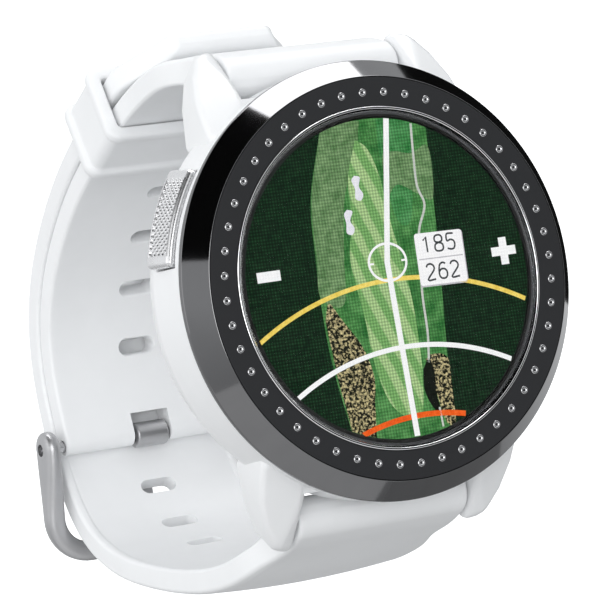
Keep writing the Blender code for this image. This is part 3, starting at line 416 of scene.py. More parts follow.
def make_case():
    """The white case: a turned shell, four lugs and a web behind each strap end, then the cuts."""
    profile = rounded([
        (21.5, 10.9), (22.0, 10.4), (22.0, 4.4), (21.5, 3.0), (20.7, 1.1), (20.2, 0.8),
        (18.9, 0.8), (18.9, 2.6), (15.2, 2.6), (15.2, 4.0), (18.4, 4.0), (18.4, 9.3), (19.4, 9.3),
        (19.4, 10.9)], 0.5, 3)
    case = lathe("case", profile, 160)
    corners = [
        (LUG_GAP_HALF, 16.0, 9.3), (LUG_GAP_HALF, 19.9, 8.5), (LUG_GAP_HALF, 22.9, 5.8),
        (LUG_GAP_HALF, 25.8, 3.1), (LUG_GAP_HALF, 25.6, 1.9), (LUG_GAP_HALF, 23.6, 0.6),
        (LUG_GAP_HALF, 16.0, 1.2), (15.2, 15.8, 9.3), (15.2, 18.4, 8.0), (15.0, 20.4, 6.8),
        (14.1, 23.0, 5.3), (12.4, 25.5, 4.0), (12.3, 25.3, 2.4), (13.2, 23.0, 0.9),
        (13.9, 20.2, 0.9), (14.6, 15.6, 1.8)]
    lugs = []
    for side in (-1, 1):
        for end in (-1, 1):
            bm = bmesh.new()
            made = [bm.verts.new(lift(x * side, z * end, h)) for x, z, h in corners]
            result = bmesh.ops.convex_hull(bm, input=made)
            spare = [v for v in result["geom_interior"] if isinstance(v, bmesh.types.BMVert)]
            bmesh.ops.delete(bm, geom=spare, context="VERTS")
            bmesh.ops.dissolve_limit(bm, angle_limit=0.02, verts=bm.verts, edges=bm.edges)
            lug = new_object("lug", to_mesh("lug", bm))
            lugs.append(bevelled(lug, 0.7, 4, 0.25))
        web = [(-10.6, 16.0), (10.6, 16.0), (10.6, 20.05), (-10.6, 20.05)]
        lugs.append(loft("web", [[lift(x, z * side, h) for x, z in web] for h in (1.3, 8.3)]))
    boolean(case, lugs, "UNION")
    cuts = []
    for side in (-1, 1):
        seat = [(-LUG_GAP_HALF, 20.1), (LUG_GAP_HALF, 20.1), (LUG_GAP_HALF, 28.1),
                (-LUG_GAP_HALF, 28.1)]
        cuts.append(loft("seat", [[lift(x, z * side, h) for x, z in seat] for h in (-1.1, 5.9)]))
        cuts.append(across(0.55, 11.9, -BAR_HEIGHT, side * BAR_Z, 24))
    rows = []
    margin = 0.16
    low = BUTTON_HEIGHT - BUTTON_WIDTH / 2 - margin
    high = BUTTON_HEIGHT + BUTTON_WIDTH / 2 + margin
    for i in range(17):
        angle = BUTTON_ANGLE + (BUTTON_HALF_SPAN + margin / BUTTON_OUTER) * (i / 8 - 1)
        rows.append([lift(*polar(r, angle), h)
                     for r, h in ((20.8, low), (25.3, low), (25.3, high), (20.8, high))])
    cuts.append(loft("pocket", rows))
    stem_hole = [(0, 16.0), (0.85, 16.0), (0.85, 19.6), (1.6, 19.6), (1.6, 21.6), (0, 21.6)]
    for offset in STEM_OFFSETS:
        cuts.append(lathe("stem_hole", stem_hole, 32, closed=False, about=stem_place(offset)))
    screw_hole = [(0, 5.0), (0.75, 5.0), (0.75, 2.0), (0, 2.0)]
    for centre in screw_places():
        cuts.append(lathe("screw_hole", screw_hole, 24, closed=False, centre=centre))
    boolean(case, cuts)
    return piece(case, "case_shell", "case", "white_polymer", ["case_body"], smooth=32)


def make_bezel():
    """The bevelled ring, its bright inner lip, the black insert and the insert's studs."""
    outline = [
        (20.4, 14.0), (22.4, 11.6), (22.4, 11.0), (19.3, 11.0), (19.3, 9.6), (18.5, 9.6),
        (18.5, 12.0), (16.3, 12.0), (16.3, 13.05), (17.04, 13.05), (17.04, 14.0), (17.35, 14.0),
        (17.35, 13.4), (20.4, 13.4)]
    bezel = lathe("bezel", rounded(outline, 0.13, 4), 256)
    piece(bezel, "bezel_bevelled_ring", "case", "polished_gunmetal", ["bezel_ring"], smooth=30)
    lip = rounded([(17.37, 14.05), (17.37, 13.5), (17.05, 13.5), (17.05, 14.05)], 0.145, 5)
    piece(lathe("lip", lip, 256), "chrome_lip_ring", "case", "steel", material=CHROME, smooth=60)

    insert = lathe("insert", rounded([(20.33, 13.98), (20.33, 13.5), (17.42, 13.5), (17.42, 13.98)],
                                     0.05, 2), 256)
    piece(insert, "insert_ring", "case", "matte_black", ["bezel_insert"], smooth=30)
    studs = []
    profile = [(0, 13.955), (0.12, 13.965), (0.19, 14.0), (0.24, 14.045), (0.30, 14.06),
               (0.37, 14.045), (0.42, 13.99), (0.42, 13.90), (0, 13.90)]
    for i in range(STUD_COUNT):
        centre = polar(STUD_CIRCLE, math.tau * i / STUD_COUNT)
        studs.append(lathe("stud", profile, 20, closed=False, centre=centre))
    piece(joined_mesh("studs", studs), "insert_studs", "case", "steel", material=STUD, smooth=70,
          weighted=False)


def make_crystal():
    """The glass and the dark line that it sits on."""
    glass = rounded([(0, 13.99), (16.94, 13.99), (16.94, 13.42), (0, 13.42)], 0.12, 3, closed=False)
    piece(lathe("glass", glass, 192, closed=False), "crystal_glass", "case", "glass", ["crystal"],
          smooth=40)
    rim = [(16.93, 13.415), (16.63, 13.415), (16.63, 13.30), (16.93, 13.30)]
    piece(lathe("rim", rounded(rim, 0.02, 1), 192), "crystal_seat_line", "case", "chassis_plastic",
          material=FINISH["chassis_plastic"], smooth=50)


# ---------------------------------------------------------------- display

def flat_patch(bm, points, h, slot, clip=LIT_R):
    """A filled outline in face mm, kept inside the active circle, with a material index."""
    kept = []
    for x, z in points:
        r = math.hypot(x, z)
        scale = min(1.0, clip / r) if r else 1.0
        kept.append(bm.verts.new(lift(x * scale, z * scale, h)))
    face = bm.faces.new(kept)
    face.normal_update()
    if face.normal.y > 0:
        face.normal_flip()
    face.material_index = slot


def strip(bm, points, width, h, slot, closed=False, clip=LIT_R):
    """A line of even width through face points."""
    line = np.array(points, float)
    count = len(line)
    edges = []
    for i in range(count):
        a = line[(i - 1) % count] if closed else line[max(i - 1, 0)]
        b = line[(i + 1) % count] if closed else line[min(i + 1, count - 1)]
        d = (b - a) / np.linalg.norm(b - a)
        side = np.array((-d[1], d[0])) * width / 2
        edges.append((line[i] + side, line[i] - side))
    pairs = list(zip(edges, edges[1:])) + ([(edges[-1], edges[0])] if closed else [])
    for (a, b), (c, d) in pairs:
        flat_patch(bm, [a, b, d, c], h, slot, clip)


def arc_points(centre, radius, start, end, steps):
    """Points on a circle between two angles in degrees."""
    out = []
    for i in range(steps + 1):
        x, z = polar(radius, math.radians(start + (end - start) * i / steps))
        out.append((centre[0] + x, centre[1] + z))
    return out


def rim_points(start, end, steps=12):
    """Points on the edge of the lit circle, without the two ends."""
    return arc_points((0, 0), LIT_R, start, end, steps)[1:-1]


def rounded_box(cx, cz, half_x, half_z, radius, turn):
    """The outline of a box with round corners, turned by turn radians."""
    points = []
    for quarter, (sx, sz) in enumerate(((1, 1), (-1, 1), (-1, -1), (1, -1))):
        for k in range(6):
            angle = math.pi / 2 * (quarter + k / 5)
            x = sx * (half_x - radius) + radius * math.cos(angle)
            z = sz * (half_z - radius) + radius * math.sin(angle)
            points.append((cx + x * math.cos(turn) - z * math.sin(turn),
                           cz + x * math.sin(turn) + z * math.cos(turn)))
    return points


def along(points, steps=8):
    """A smooth open line through points (Catmull-Rom)."""
    p = np.array(points, float)
    p = np.vstack([2 * p[0] - p[1], p, 2 * p[-1] - p[-2]])
    out = []
    for i in range(1, len(p) - 2):
        for k in range(steps):
            t = k / steps
            out.append(tuple(0.5 * (2 * p[i] + (p[i + 1] - p[i - 1]) * t
                                    + (2 * p[i - 1] - 5 * p[i] + 4 * p[i + 1] - p[i + 2]) * t ** 2
                                    + (3 * p[i] - p[i - 1] - 3 * p[i + 1] + p[i + 2]) * t ** 3)))
    out.append(tuple(p[-2]))
    return out


DIGITS = {
    "1": [[(0.15, 0.78), (0.5, 1.0), (0.5, 0.0)]],
    "8": [[(0.5, 0.53), (0.14, 0.62), (0.10, 0.86), (0.3, 1.0), (0.7, 1.0), (0.90, 0.86),
           (0.86, 0.62), (0.5, 0.53), (0.12, 0.42), (0.06, 0.14), (0.28, 0.0), (0.72, 0.0),
           (0.94, 0.14), (0.88, 0.42), (0.5, 0.53)]],
    "5": [[(0.88, 1.0), (0.18, 1.0), (0.12, 0.56), (0.5, 0.62), (0.84, 0.52), (0.92, 0.28),
           (0.78, 0.05), (0.45, 0.0), (0.08, 0.08)]],
    "2": [[(0.08, 0.82), (0.25, 0.98), (0.62, 1.0), (0.88, 0.84), (0.84, 0.58), (0.08, 0.0),
           (0.94, 0.0)]],
    "6": [[(0.86, 0.92), (0.55, 1.0), (0.22, 0.86), (0.08, 0.45), (0.10, 0.16), (0.32, 0.0),
           (0.7, 0.0), (0.92, 0.16), (0.92, 0.42), (0.7, 0.58), (0.32, 0.58), (0.09, 0.42)]],
}


def make_display():
    """The lit panel: black border, the map of one hole, range arcs, aim line and number label.

    The panel's own faces keep look 0, and each flat shape on it takes the index of its look.
    """
    looks = [
        BORDER,
        lit("map_outside", srgb(12, 44, 24), srgb(34, 76, 44), grid=0.7),
        lit("map_light_rough", srgb(98, 140, 88), srgb(140, 178, 124), 1300.0),
        lit("map_green_grass", srgb(52, 122, 58), srgb(104, 172, 98), 700.0),
        lit("map_fairway", srgb(136, 194, 116), srgb(190, 226, 158), 160.0, True, turn=0.38),
        lit("map_scrub", srgb(16, 22, 13), srgb(226, 212, 158), 3100.0, ratio=(0.47, 0.58)),
        lit("map_sand", srgb(226, 226, 236), srgb(240, 240, 246), grid=0.04),
        lit("map_path", srgb(196, 202, 194), srgb(214, 218, 210), grid=0.1),
        lit("map_shadow", srgb(10, 14, 10), srgb(24, 32, 22)),
        lit("line_yellow", srgb(232, 202, 84), srgb(250, 226, 120), grid=0.04),
        lit("line_white", srgb(248, 250, 250), srgb(255, 255, 255), grid=0.04),
        lit("line_orange", srgb(232, 84, 22), srgb(248, 106, 36), grid=0.04),
        lit("label_white", srgb(250, 250, 252), srgb(255, 255, 255), grid=0.04),
        lit("label_ink", srgb(52, 56, 58), srgb(70, 74, 76), grid=0.04),
        lit("label_divider", srgb(186, 186, 190), srgb(206, 204, 210), grid=0.04),
        lit("map_bright_grass", srgb(52, 132, 66), srgb(96, 172, 104), 700.0),
    ]
    (outside, light_rough, grass, fairway, scrub, sand, path, shadow, yellow, white,
     orange, label, ink, divider, bright) = range(1, len(looks))
    panel = lathe("display", rounded([(0, 13.25), (16.62, 13.25), (16.62, 12.5), (16.0, 12.0),
                                      (16.0, 11.3), (0, 11.3)], 0.04, 1, closed=False), 192,
                  closed=False)
    for look in looks:
        panel.data.materials.append(look)
    bm = bmesh.new()
    bm.from_mesh(panel.data)

    panel_face, layer_step = 13.255, 0.004
    levels = [panel_face + layer_step * i for i in range(10)]
    flat_patch(bm, arc_points((0, 0), LIT_R, 0, 357.5, 143), levels[0], outside)
    left = along([(-5.3, 15.31), (-7.5, 8.7), (-8.0, 2.5), (-8.2, -3.0), (-7.9, -8.5),
                  (-7.0, -14.61)])
    right = along([(7.0, 14.61), (6.6, 8.0), (6.2, 2.0), (5.5, -6.1), (5.1, -11.0), (4.9, -15.44)])
    flat_patch(bm, left[::-1] + rim_points(109, 64.4) + right + rim_points(287.6, 244.4),
               levels[1], grass)
    flat_patch(bm, along([(-5.3, 15.31), (-7.4, 8.7), (-7.9, 2.5), (-8.1, -1.0), (-5.6, -2.0),
                          (-4.7, 3.0), (-3.6, 8.6), (-1.6, 12.6), (-0.6, 16.05)])
               + rim_points(92, 109, 6), levels[2], light_rough)
    flat_patch(bm, along([(1.3, 16.08), (1.2, 12.0), (1.9, 6.0), (3.5, 5.4), (4.6, 10.0),
                          (5.6, 15.16)]) + rim_points(70, 85, 6), levels[2], bright)
    flat_patch(bm, along([(1.3, 8.0), (2.7, 9.2), (4.9, 8.0), (6.55, 7.5), (6.9, 12.6),
                          (4.8, 12.2), (2.8, 12.6), (1.4, 12.2), (1.3, 8.0)])[:-1], levels[3],
               light_rough)
    flat_patch(bm, along([(-1.4, 14.2), (-2.9, 10.4), (-3.2, 6.4), (-4.1, 2.2), (-3.5, -3.6),
                          (-3.2, -8.4), (-1.9, -12.8), (0.9, -14.4), (2.0, -10.6), (2.3, -4.2),
                          (1.9, 0.8), (1.2, 5.4), (0.7, 10.4), (-0.2, 13.2), (-1.4, 14.2)])[:-1],
               levels[4], fairway)
    flat_patch(bm, along([(-8.0, -3.4), (-7.3, -1.7), (-6.1, -3.5), (-4.3, -6.4), (-3.5, -9.6),
                          (-3.9, -12.4), (-4.3, -15.6)]) + [(-5.6, -15.2), (-6.98, -14.6)]
               + along([(-7.2, -12.4), (-7.6, -9.6), (-8.0, -3.4)])[:-1], levels[5], scrub)
    flat_patch(bm, along([(2.7, -8.6), (3.6, -8.2), (5.25, -8.8), (5.2, -12.0), (5.0, -15.36),
                          (4.0, -15.2), (3.4, -12.6), (2.7, -8.6)])[:-1], levels[5], scrub)
    flat_patch(bm, along([(2.2, -9.6), (3.1, -8.6), (3.5, -10.2), (3.3, -12.0), (3.6, -14.4),
                          (2.6, -13.4), (2.0, -11.6), (2.2, -9.6)])[:-1], levels[6], shadow)
    for x, z, lean in ((-1.95, 9.4, -0.15), (-3.55, 6.1, -0.3)):
        flat_patch(bm, along([(x - 0.35 - lean, z + 1.25), (x + 0.25 - lean, z + 1.0),
                              (x + 0.15, z + 0.1), (x + 0.5, z - 0.7), (x + 0.15, z - 1.3),
                              (x - 0.45, z - 1.05), (x - 0.35, z - 0.1), (x - 0.75 - lean, z + 0.8),
                              (x - 0.35 - lean, z + 1.25)])[:-1], levels[6], sand)
    strip(bm, along([(5.3, 15.2), (5.0, 11.6), (4.9, 8.8), (5.4, 6.8), (4.3, 4.3), (3.9, 1.2),
                     (3.5, -2.2), (3.4, -6.0), (3.0, -9.0)]), 0.26, levels[6], path)
    strip(bm, [(3.4, -13.6), (3.5, -15.6)], 0.22, levels[7], path)

    def range_arc(centre, radius, left_end, right_end, width, slot):
        angles = [math.degrees(math.atan2(z - centre[1], x - centre[0]))
                  for x, z in (left_end, right_end)]
        strip(bm, arc_points(centre, radius, *angles, 48), width, levels[7], slot, clip=16.25)

    range_arc((0.39, -31.67), 31.47, (-15.6, -4.6), (15.5, -4.0), 0.46, yellow)
    range_arc((0.72, -33.59), 26.51, (-12.4, -10.5), (12.7, -9.9), 0.5, white)
    range_arc((1.22, -37.23), 23.14, (-5.8, -15.2), (6.3, -14.7), 0.56, orange)
    strip(bm, [(2.55, 16.0), (0.05, 1.6), (0.35, -16.1)], 0.64, levels[8], white)
    ring = [(0.1 + 1.15 * x, 1.6 + z) for x, z in arc_points((0, 0), 1.88, 0, 352.5, 47)]
    strip(bm, ring, 0.26, levels[8], white, closed=True)
    for side in (-1, 1):
        strip(bm, [(0.1 + side * 2.16, 1.6), (0.1 + side * 1.6, 1.6)], 0.2, levels[8], white)

    flat_patch(bm, rounded_box(6.37, 1.22, 2.84, 2.72, 0.32, -0.02), levels[7], divider)
    flat_patch(bm, rounded_box(6.32, 1.32, 2.78, 2.66, 0.30, -0.02), levels[8], label)
    strip(bm, [(3.75, 1.38), (8.9, 1.3)], 0.12, levels[9], divider)
    for text, base in (("185", 2.02), ("262", -0.78)):
        for i, digit in enumerate(text):
            for stroke in DIGITS[digit]:
                x0 = 4.36 + 1.42 * i
                smooth = along(stroke, 4) if digit in "8256" else stroke
                strip(bm, [(x0 + 1.08 * x, base + 1.58 * z) for x, z in smooth], 0.19, levels[9],
                      ink)
    strip(bm, [(-14.85, 1.8), (-12.2, 1.8)], 1.05, levels[8], white)
    strip(bm, [(12.35, 1.1), (15.25, 1.1)], 0.92, levels[8], white)
    strip(bm, [(13.8, 2.5), (13.8, -0.3)], 0.92, levels[9], white)
    bm.to_mesh(panel.data)
    bm.free()
    piece(panel, "display_panel", "case", "display", ["display_module"], material=False,
          weighted=False)


# ---------------------------------------------------------------- button

def make_button():
    """A curved bar with a diamond knurl on its outer face, on two stems."""
    stations, face = 132, 44
    half_w = BUTTON_WIDTH / 2
    pitch = 0.62

    def lean(w):
        """The outer face leans in towards the bezel."""
        return 0.8 * smoothstep(-half_w, half_w * 1.6, w)

    rows = []
    for i in range(stations + 1):
        share = i / stations
        arc = (share * 2 - 1) * BUTTON_HALF_SPAN
        angle = BUTTON_ANGLE + arc
        length = arc * BUTTON_OUTER
        edge = BUTTON_OUTER * BUTTON_HALF_SPAN - abs(length)
        tuck = 0.5 * (1 - math.sqrt(max(0.0, 1 - (1 - min(edge / 0.55, 1.0)) ** 2)))
        points = []
        for k in range(face + 1):
            w = (k / face * 2 - 1) * (half_w - 0.45)
            fade = min(1.0, max(0.0, (edge - 1.1) / 0.25), max(0.0, (half_w - 0.5 - abs(w)) / 0.15))
            a, b = (length + w) / pitch, (length - w) / pitch
            ridge = (1 - abs(2 * (a % 1) - 1)) * (1 - abs(2 * (b % 1) - 1))
            points.append((BUTTON_OUTER - tuck - lean(w) - 0.20 * fade * (1 - ridge),
                           BUTTON_HEIGHT + w))
        top, low = BUTTON_HEIGHT + half_w - tuck * 0.7, BUTTON_HEIGHT - half_w + tuck * 0.7
        for q in range(1, 6):
            turn = math.pi / 2 * q / 5
            points.append((BUTTON_OUTER - lean(half_w) - tuck - 0.35 * (1 - math.cos(turn)),
                           top - 0.45 * (1 - math.sin(turn))))
        points.append((BUTTON_INNER, top))
        points.append((BUTTON_INNER, low))
        for q in range(5, 0, -1):
            turn = math.pi / 2 * q / 5
            points.append((BUTTON_OUTER - tuck - 0.45 * (1 - math.cos(turn)),
                           low + 0.45 * (1 - math.sin(turn))))
        rows.append([lift(*polar(r, angle), h) for r, h in points])
    bar = loft("button", rows)
    shape = rounded([(0, 17.25), (0.7, 17.25), (0.7, 22.4), (0, 22.4)], 0.1, 2, closed=False)
    stems = [lathe("stem", shape, 32, closed=False, about=stem_place(offset))
             for offset in STEM_OFFSETS]
    boolean(bar, stems, "UNION")
    piece(bar, "button_knurled_bar", "button", "satin_steel", ["button_bar"],
          material=BUTTON_STEEL, smooth=28, weighted=False)


# ---------------------------------------------------------------- band routes

def smooth_route(points, step):
    """Evenly spaced stations on a natural cubic spline through points, as an array of (y, z)."""
    knots = np.array(points, dtype=float)
    chord = np.r_[0, np.cumsum(np.linalg.norm(np.diff(knots, axis=0), axis=1))]
    count = len(knots)
    span = np.diff(chord)
    matrix = np.zeros((count, count))
    right = np.zeros((count, 2))
    matrix[0, 0] = matrix[-1, -1] = 1
    for i in range(1, count - 1):
        matrix[i, i - 1:i + 2] = span[i - 1], 2 * (span[i - 1] + span[i]), span[i]
        slope = np.diff(knots[i - 1:i + 2], axis=0) / span[i - 1:i + 1, None]
        right[i] = 6 * (slope[1] - slope[0])
    bend = np.linalg.solve(matrix, right)

    def at(t):
        i = int(np.clip(np.searchsorted(chord, t) - 1, 0, count - 2))
        h = span[i]
        a, b = (chord[i + 1] - t) / h, (t - chord[i]) / h
        return (a * knots[i] + b * knots[i + 1]
                + ((a ** 3 - a) * bend[i] + (b ** 3 - b) * bend[i + 1]) * h * h / 6)

    fine = np.array([at(t) for t in np.linspace(0, chord[-1], 1200)])
    length = np.r_[0, np.cumsum(np.linalg.norm(np.diff(fine, axis=0), axis=1))]
    stations = np.linspace(0, length[-1], max(2, round(length[-1] / step) + 1))
    return np.stack([np.interp(stations, length, fine[:, k]) for k in range(2)], axis=1)


class Route:
    """A centre line in the YZ plane, in mm, measured by the length along it."""

    def __init__(self, points):
        self.line = smooth_route(points, 0.25)
        self.length = np.r_[0, np.cumsum(np.linalg.norm(np.diff(self.line, axis=0), axis=1))]
        self.total = float(self.length[-1])

    def at(self, s):
        inside = min(max(s, 0.0), self.total)
        near = min(max(inside, 0.5), self.total - 0.5)
        position = np.array([np.interp(inside, self.length, self.line[:, k]) for k in range(2)])
        ahead, behind = ([np.interp(near + d * 0.5, self.length, self.line[:, k])
                          for k in range(2)] for d in (1, -1))
        direction = np.array(ahead) - np.array(behind)
        direction /= np.linalg.norm(direction)
        return position + direction * (s - inside), direction

    def outward(self, s):
        """The normal that points away from the wrist."""
        position, direction = self.at(s)
        normal = np.array([-direction[1], direction[0]])
        return normal if np.dot(normal, position - np.array((22.0, 0.0))) > 0 else -normal

    def nearest(self, point):
        return float(self.length[np.linalg.norm(self.line - np.array(point), axis=1).argmin()])


TAIL = Route(TAIL_ROUTE)


def buckle_half_route():
    """The short half: its own start, then the inside of the long half down to the pivot."""
    depth = THICK + LAYER_GAP
    inside = []
    s = TAIL.nearest((JOIN_Y, 23.8))
    while True:
        position = TAIL.at(s)[0] - TAIL.outward(s) * depth
        if position[1] < PIVOT_Z:
            break
        inside.append(tuple(position))
        s -= 4.0
    last, before = np.array(inside[-1]), np.array(inside[-2])
    step = (last - before) / np.linalg.norm(last - before)
    inside[-1] = tuple(last + step * (PIVOT_Z - last[1]) / step[1])
    return Route(BUCKLE_ROUTE + inside)


SHORT = buckle_half_route()
PIVOT = SHORT.at(SHORT.total)[0]


def body_half_thickness(s):
    """The band thins from its round nose to its plain thickness."""
    return NOSE_R + (THICK / 2 - NOSE_R) * smoothstep(1.0, 9.0, s)


def lug_half_width(s):
    """The band is narrower between the lugs."""
    return HALF_AT_LUG + (HALF - HALF_AT_LUG) * smoothstep(5.0, 12.0, s)


def band_outline(half, thick, crown, rim, depth, edge, under_depth=0.0):
    """Half of a band section from the outer middle to the inner middle, as (x, t) points."""
    top = []
    inner = half - rim
    for f in (0.0, 0.25, 0.5, 0.72, 0.88, 0.96):
        x = inner * f
        top.append((x, thick - depth + crown * (1 - (x / half) ** 2)))
    level = crown * (1 - (inner / half) ** 2)
    top += [(inner - 0.02, thick - depth + level), (inner + 0.10, thick - depth * 0.8 + level),
            (inner + 0.20, thick - depth * 0.2 + level), (inner + 0.34, thick + level * 0.8)]
    top.append((half - edge, thick + level * 0.1))
    for k in range(1, 6):
        turn = math.pi / 2 * k / 5
        top.append((half - edge * (1 - math.sin(turn)), thick - edge * (1 - math.cos(turn))))
    under = 0.8 * edge
    for k in range(6):
        turn = math.pi / 2 * k / 5
        top.append((half - under * (1 - math.cos(turn)), -thick + under * (1 - math.sin(turn))))
    level = -thick + under_depth
    top += [(inner + 0.34, -thick), (inner + 0.16, -thick + under_depth * 0.2),
            (inner + 0.04, -thick + under_depth * 0.85), (inner - 0.08, level),
            (half * 0.5, level), (0.0, level)]
    return top


def band(name, rows):
    """Loft a band through (position, normal, half, thick, crown, rim, depth, edge) rows."""
    sections = []
    for position, normal, *shape in rows:
        sections.append(section_at(position, normal, mirrored(band_outline(*shape))))
    return loft(name, sections)


def nose_rows(route, radius, half):
    """The round end over the spring bar."""
    rows = []
    for k in range(12):
        a = math.radians(8 + 82 * k / 11)
        rows.append((route.at(-radius * math.cos(a))[0], route.outward(0), half,
                     radius * math.sin(a), 0.0, 1.3, 0.0, min(0.5, radius * math.sin(a) * 0.8)))
    return rows


def slots(route, places):
    """Stadium cutters with flared mouths."""
    cutters = []
    straight = SLOT_LENGTH / 2 - SLOT_HEIGHT / 2
    for s in places:
        position, direction = route.at(s)
        normal = route.outward(s)
        sections = []
        for depth, grow in ((-3.0, 0.16), (-1.4, 0.16), (-1.26, 0.05), (-1.1, -0.02), (0.75, -0.02),
                            (0.95, 0.05), (1.18, 0.22), (1.5, 0.5), (3.0, 0.5)):
            ring = []
            r = SLOT_HEIGHT / 2 + grow
            for side in (1, -1):
                for k in range(13):
                    angle = math.radians(-90 + 15 * k) + (0 if side == 1 else math.pi)
                    x = side * straight + r * math.cos(angle)
                    a = r * math.sin(angle)
                    yz = position + direction * a + normal * depth
                    ring.append(Vector((x, *yz)) * MM)
            sections.append(ring)
        cutters.append(loft("slot", sections))
    return [joined_mesh("slots", cutters)]


def make_tail_half():
    """The long half: a rim round a shallow panel, a row of slots and a tapered end."""
    total = TAIL.total

    def half_width(s):
        return (lug_half_width(s) + (TAIL_HALF - HALF) * smoothstep(total - TAIL_TAPER, total, s))

    def crown(s):
        return CROWN * smoothstep(3, 9, s) * (1 - smoothstep(24, 40, s))

    rows = nose_rows(TAIL, NOSE_R, HALF_AT_LUG)
    pin_at = TAIL.nearest(PIVOT)
    end_round = 1.3
    count = 170
    for i in range(count + 1):
        s = 1.0 + (total - end_round - 1.0) * i / count
        panel = smoothstep(26, 29, s) * (1 - smoothstep(total - 5.0, total - 3.6, s))
        lining = smoothstep(9, 11, s) * (1 - smoothstep(pin_at - 1.6, pin_at - 1.0, s))
        rows.append((TAIL.at(s)[0], TAIL.outward(s), half_width(s), body_half_thickness(s),
                     crown(s), 1.15, 0.26 * panel, 0.55, 0.22 * lining))
    for k in range(1, 8):
        turn = math.pi / 2 * k / 7.6
        s = total - end_round * (1 - math.sin(turn))
        shrink = end_round * (1 - math.cos(turn))
        thick = THICK / 2 - shrink * 0.9
        rows.append((TAIL.at(s)[0], TAIL.outward(s), half_width(s) - shrink * 0.8, thick, 0.0,
                     1.15, 0.0, min(0.55, thick * 0.85)))
    strap = band("tail", rows)
    boolean(strap, [across(0.9, 12, -BAR_HEIGHT, -BAR_Z, 32)])
    first = TAIL.nearest(PIVOT) + 0.15 - 3 * SLOT_PITCH
    places = [first + SLOT_PITCH * i for i in range(30) if first + SLOT_PITCH * i < total - 6]
    boolean(strap, slots(TAIL, places))
    piece(strap, "strap_long_half", "tail_strap", "white_silicone", ["strap_tail_half"], smooth=40)


def make_buckle_half():
    """The short half, with a round end and a notch at the buckle's pin."""
    end = SHORT.total

    def half_width(s):
        return lug_half_width(s) + (BUCKLE_END_HALF - HALF) * smoothstep(end - 32, end - 4, s)

    rows = nose_rows(SHORT, NOSE_R, HALF_AT_LUG)
    count = 96
    for i in range(count + 1):
        s = 1.0 + (end - 0.4 - 1.0) * i / count
        rows.append((SHORT.at(s)[0], SHORT.outward(s), half_width(s), body_half_thickness(s), 0.0,
                     1.2, 0.0, 0.5))
    for k in range(1, 9):
        turn = math.pi / 2 * k / 8.6
        s = end - 0.4 + (THICK / 2 + 0.1) * math.sin(turn)
        thick = THICK / 2 * math.cos(turn)
        rows.append((SHORT.at(s)[0], SHORT.outward(end), BUCKLE_END_HALF, thick, 0.0, 1.2, 0.0,
                     min(0.5, thick * 0.85)))
    strap = band("short", rows)
    y, z = PIVOT
    boolean(strap, [across(0.9, 12, -BAR_HEIGHT, BAR_Z, 32), across(0.72, 12, y, z, 32)])
    notch = [(-NOTCH_HALF, z - 4), (NOTCH_HALF, z - 4), (NOTCH_HALF, z + NOTCH_DEPTH),
             (-NOTCH_HALF, z + NOTCH_DEPTH)]
    boolean(strap, [loft("notch", [[Vector((a, y + d, b)) * MM for a, b in notch]
                                   for d in (-3, 3)])])
    places = [end - 10.4 - BUCKLE_SLOT_PITCH * i for i in range(5)]
    boolean(strap, slots(SHORT, places))
    piece(strap, "strap_buckle_end_half", "buckle_strap", "white_silicone", ["strap_buckle_half"],
          smooth=40)


# ---------------------------------------------------------------- buckle and keeper

def tube(name, centre_line, radii, steps=28):
    """A bar of changing (width, depth) through points in the frame, in mm, a little squared."""
    points = [np.array(p, float) for p in centre_line]
    sections = []
    flat_normal = np.array((0.0, *rest_normal()))
    for i, p in enumerate(points):
        a, b = points[max(i - 1, 0)], points[min(i + 1, len(points) - 1)]
        d = (b - a) / np.linalg.norm(b - a)
        side = np.cross(d, flat_normal)
        side /= np.linalg.norm(side)
        ring = []
        for k in range(steps):
            turn = math.tau * k / steps
            wide, deep = radii[i]
            c, q = math.cos(turn), math.sin(turn)
            grow = (abs(c) ** 2.6 + abs(q) ** 2.6) ** (-1 / 2.6)
            offset = side * c * wide + flat_normal * q * deep
            ring.append(Vector(p + offset * grow) * MM)
        sections.append(ring)
    return loft(name, sections)


def frame_down():
    """The direction and the length from the buckle's pin to its far bar."""
    down = np.array(FAR_BAR) - PIVOT
    length = float(np.linalg.norm(down))
    return down / length, length


def rest_normal():
    """The normal of the buckle's flat side."""
    down, _ = frame_down()
    return -down[1], down[0]


def make_buckle():
    """A bow with pear-shaped ends round the pin, tapering arms and a plain far bar."""
    down, length = frame_down()
    side = []
    for k in range(9):
        turn = math.pi / 2 * k / 8
        side.append((ARM_X, -BOSS_R * 0.96 * math.cos(turn),
                     BOSS_HALF_WIDTH * math.sin(turn) ** 0.7 + 0.02,
                     BOSS_R * math.sin(turn) + 0.02))
    for k in range(1, 17):
        t = k / 16
        d = (length - CORNER_R) * t
        pear = 1 - smoothstep(0.0, 9.0, d)
        side.append((ARM_X, d, FAR_BAR_R + (BOSS_HALF_WIDTH - FAR_BAR_R) * pear,
                     FAR_BAR_R + (BOSS_R - FAR_BAR_R) * pear))
    for k in range(1, 13):
        turn = math.pi / 2 * k / 12
        side.append((ARM_X - CORNER_R * (1 - math.cos(turn)),
                     length - CORNER_R * (1 - math.sin(turn)), FAR_BAR_R, FAR_BAR_R))
    rows = [(-x, *rest) for x, *rest in side] + [(x, *rest) for x, *rest in reversed(side)]
    line = [(x, *(PIVOT + down * d)) for x, d, _, _ in rows]
    body = tube("buckle", line, [(a, b) for _, _, a, b in rows])
    boolean(body, [across(0.7, 20, *PIVOT, 32)])
    piece(body, "buckle_bow", "buckle", "satin_steel", ["buckle_frame"], smooth=50)
    pin = across(PIN_R, PIN_HALF - 0.35, *PIVOT, 40, 0.15, "pin")
    piece(pin, "buckle_cross_pin", "buckle", "steel", ["buckle_pin"], smooth=40)


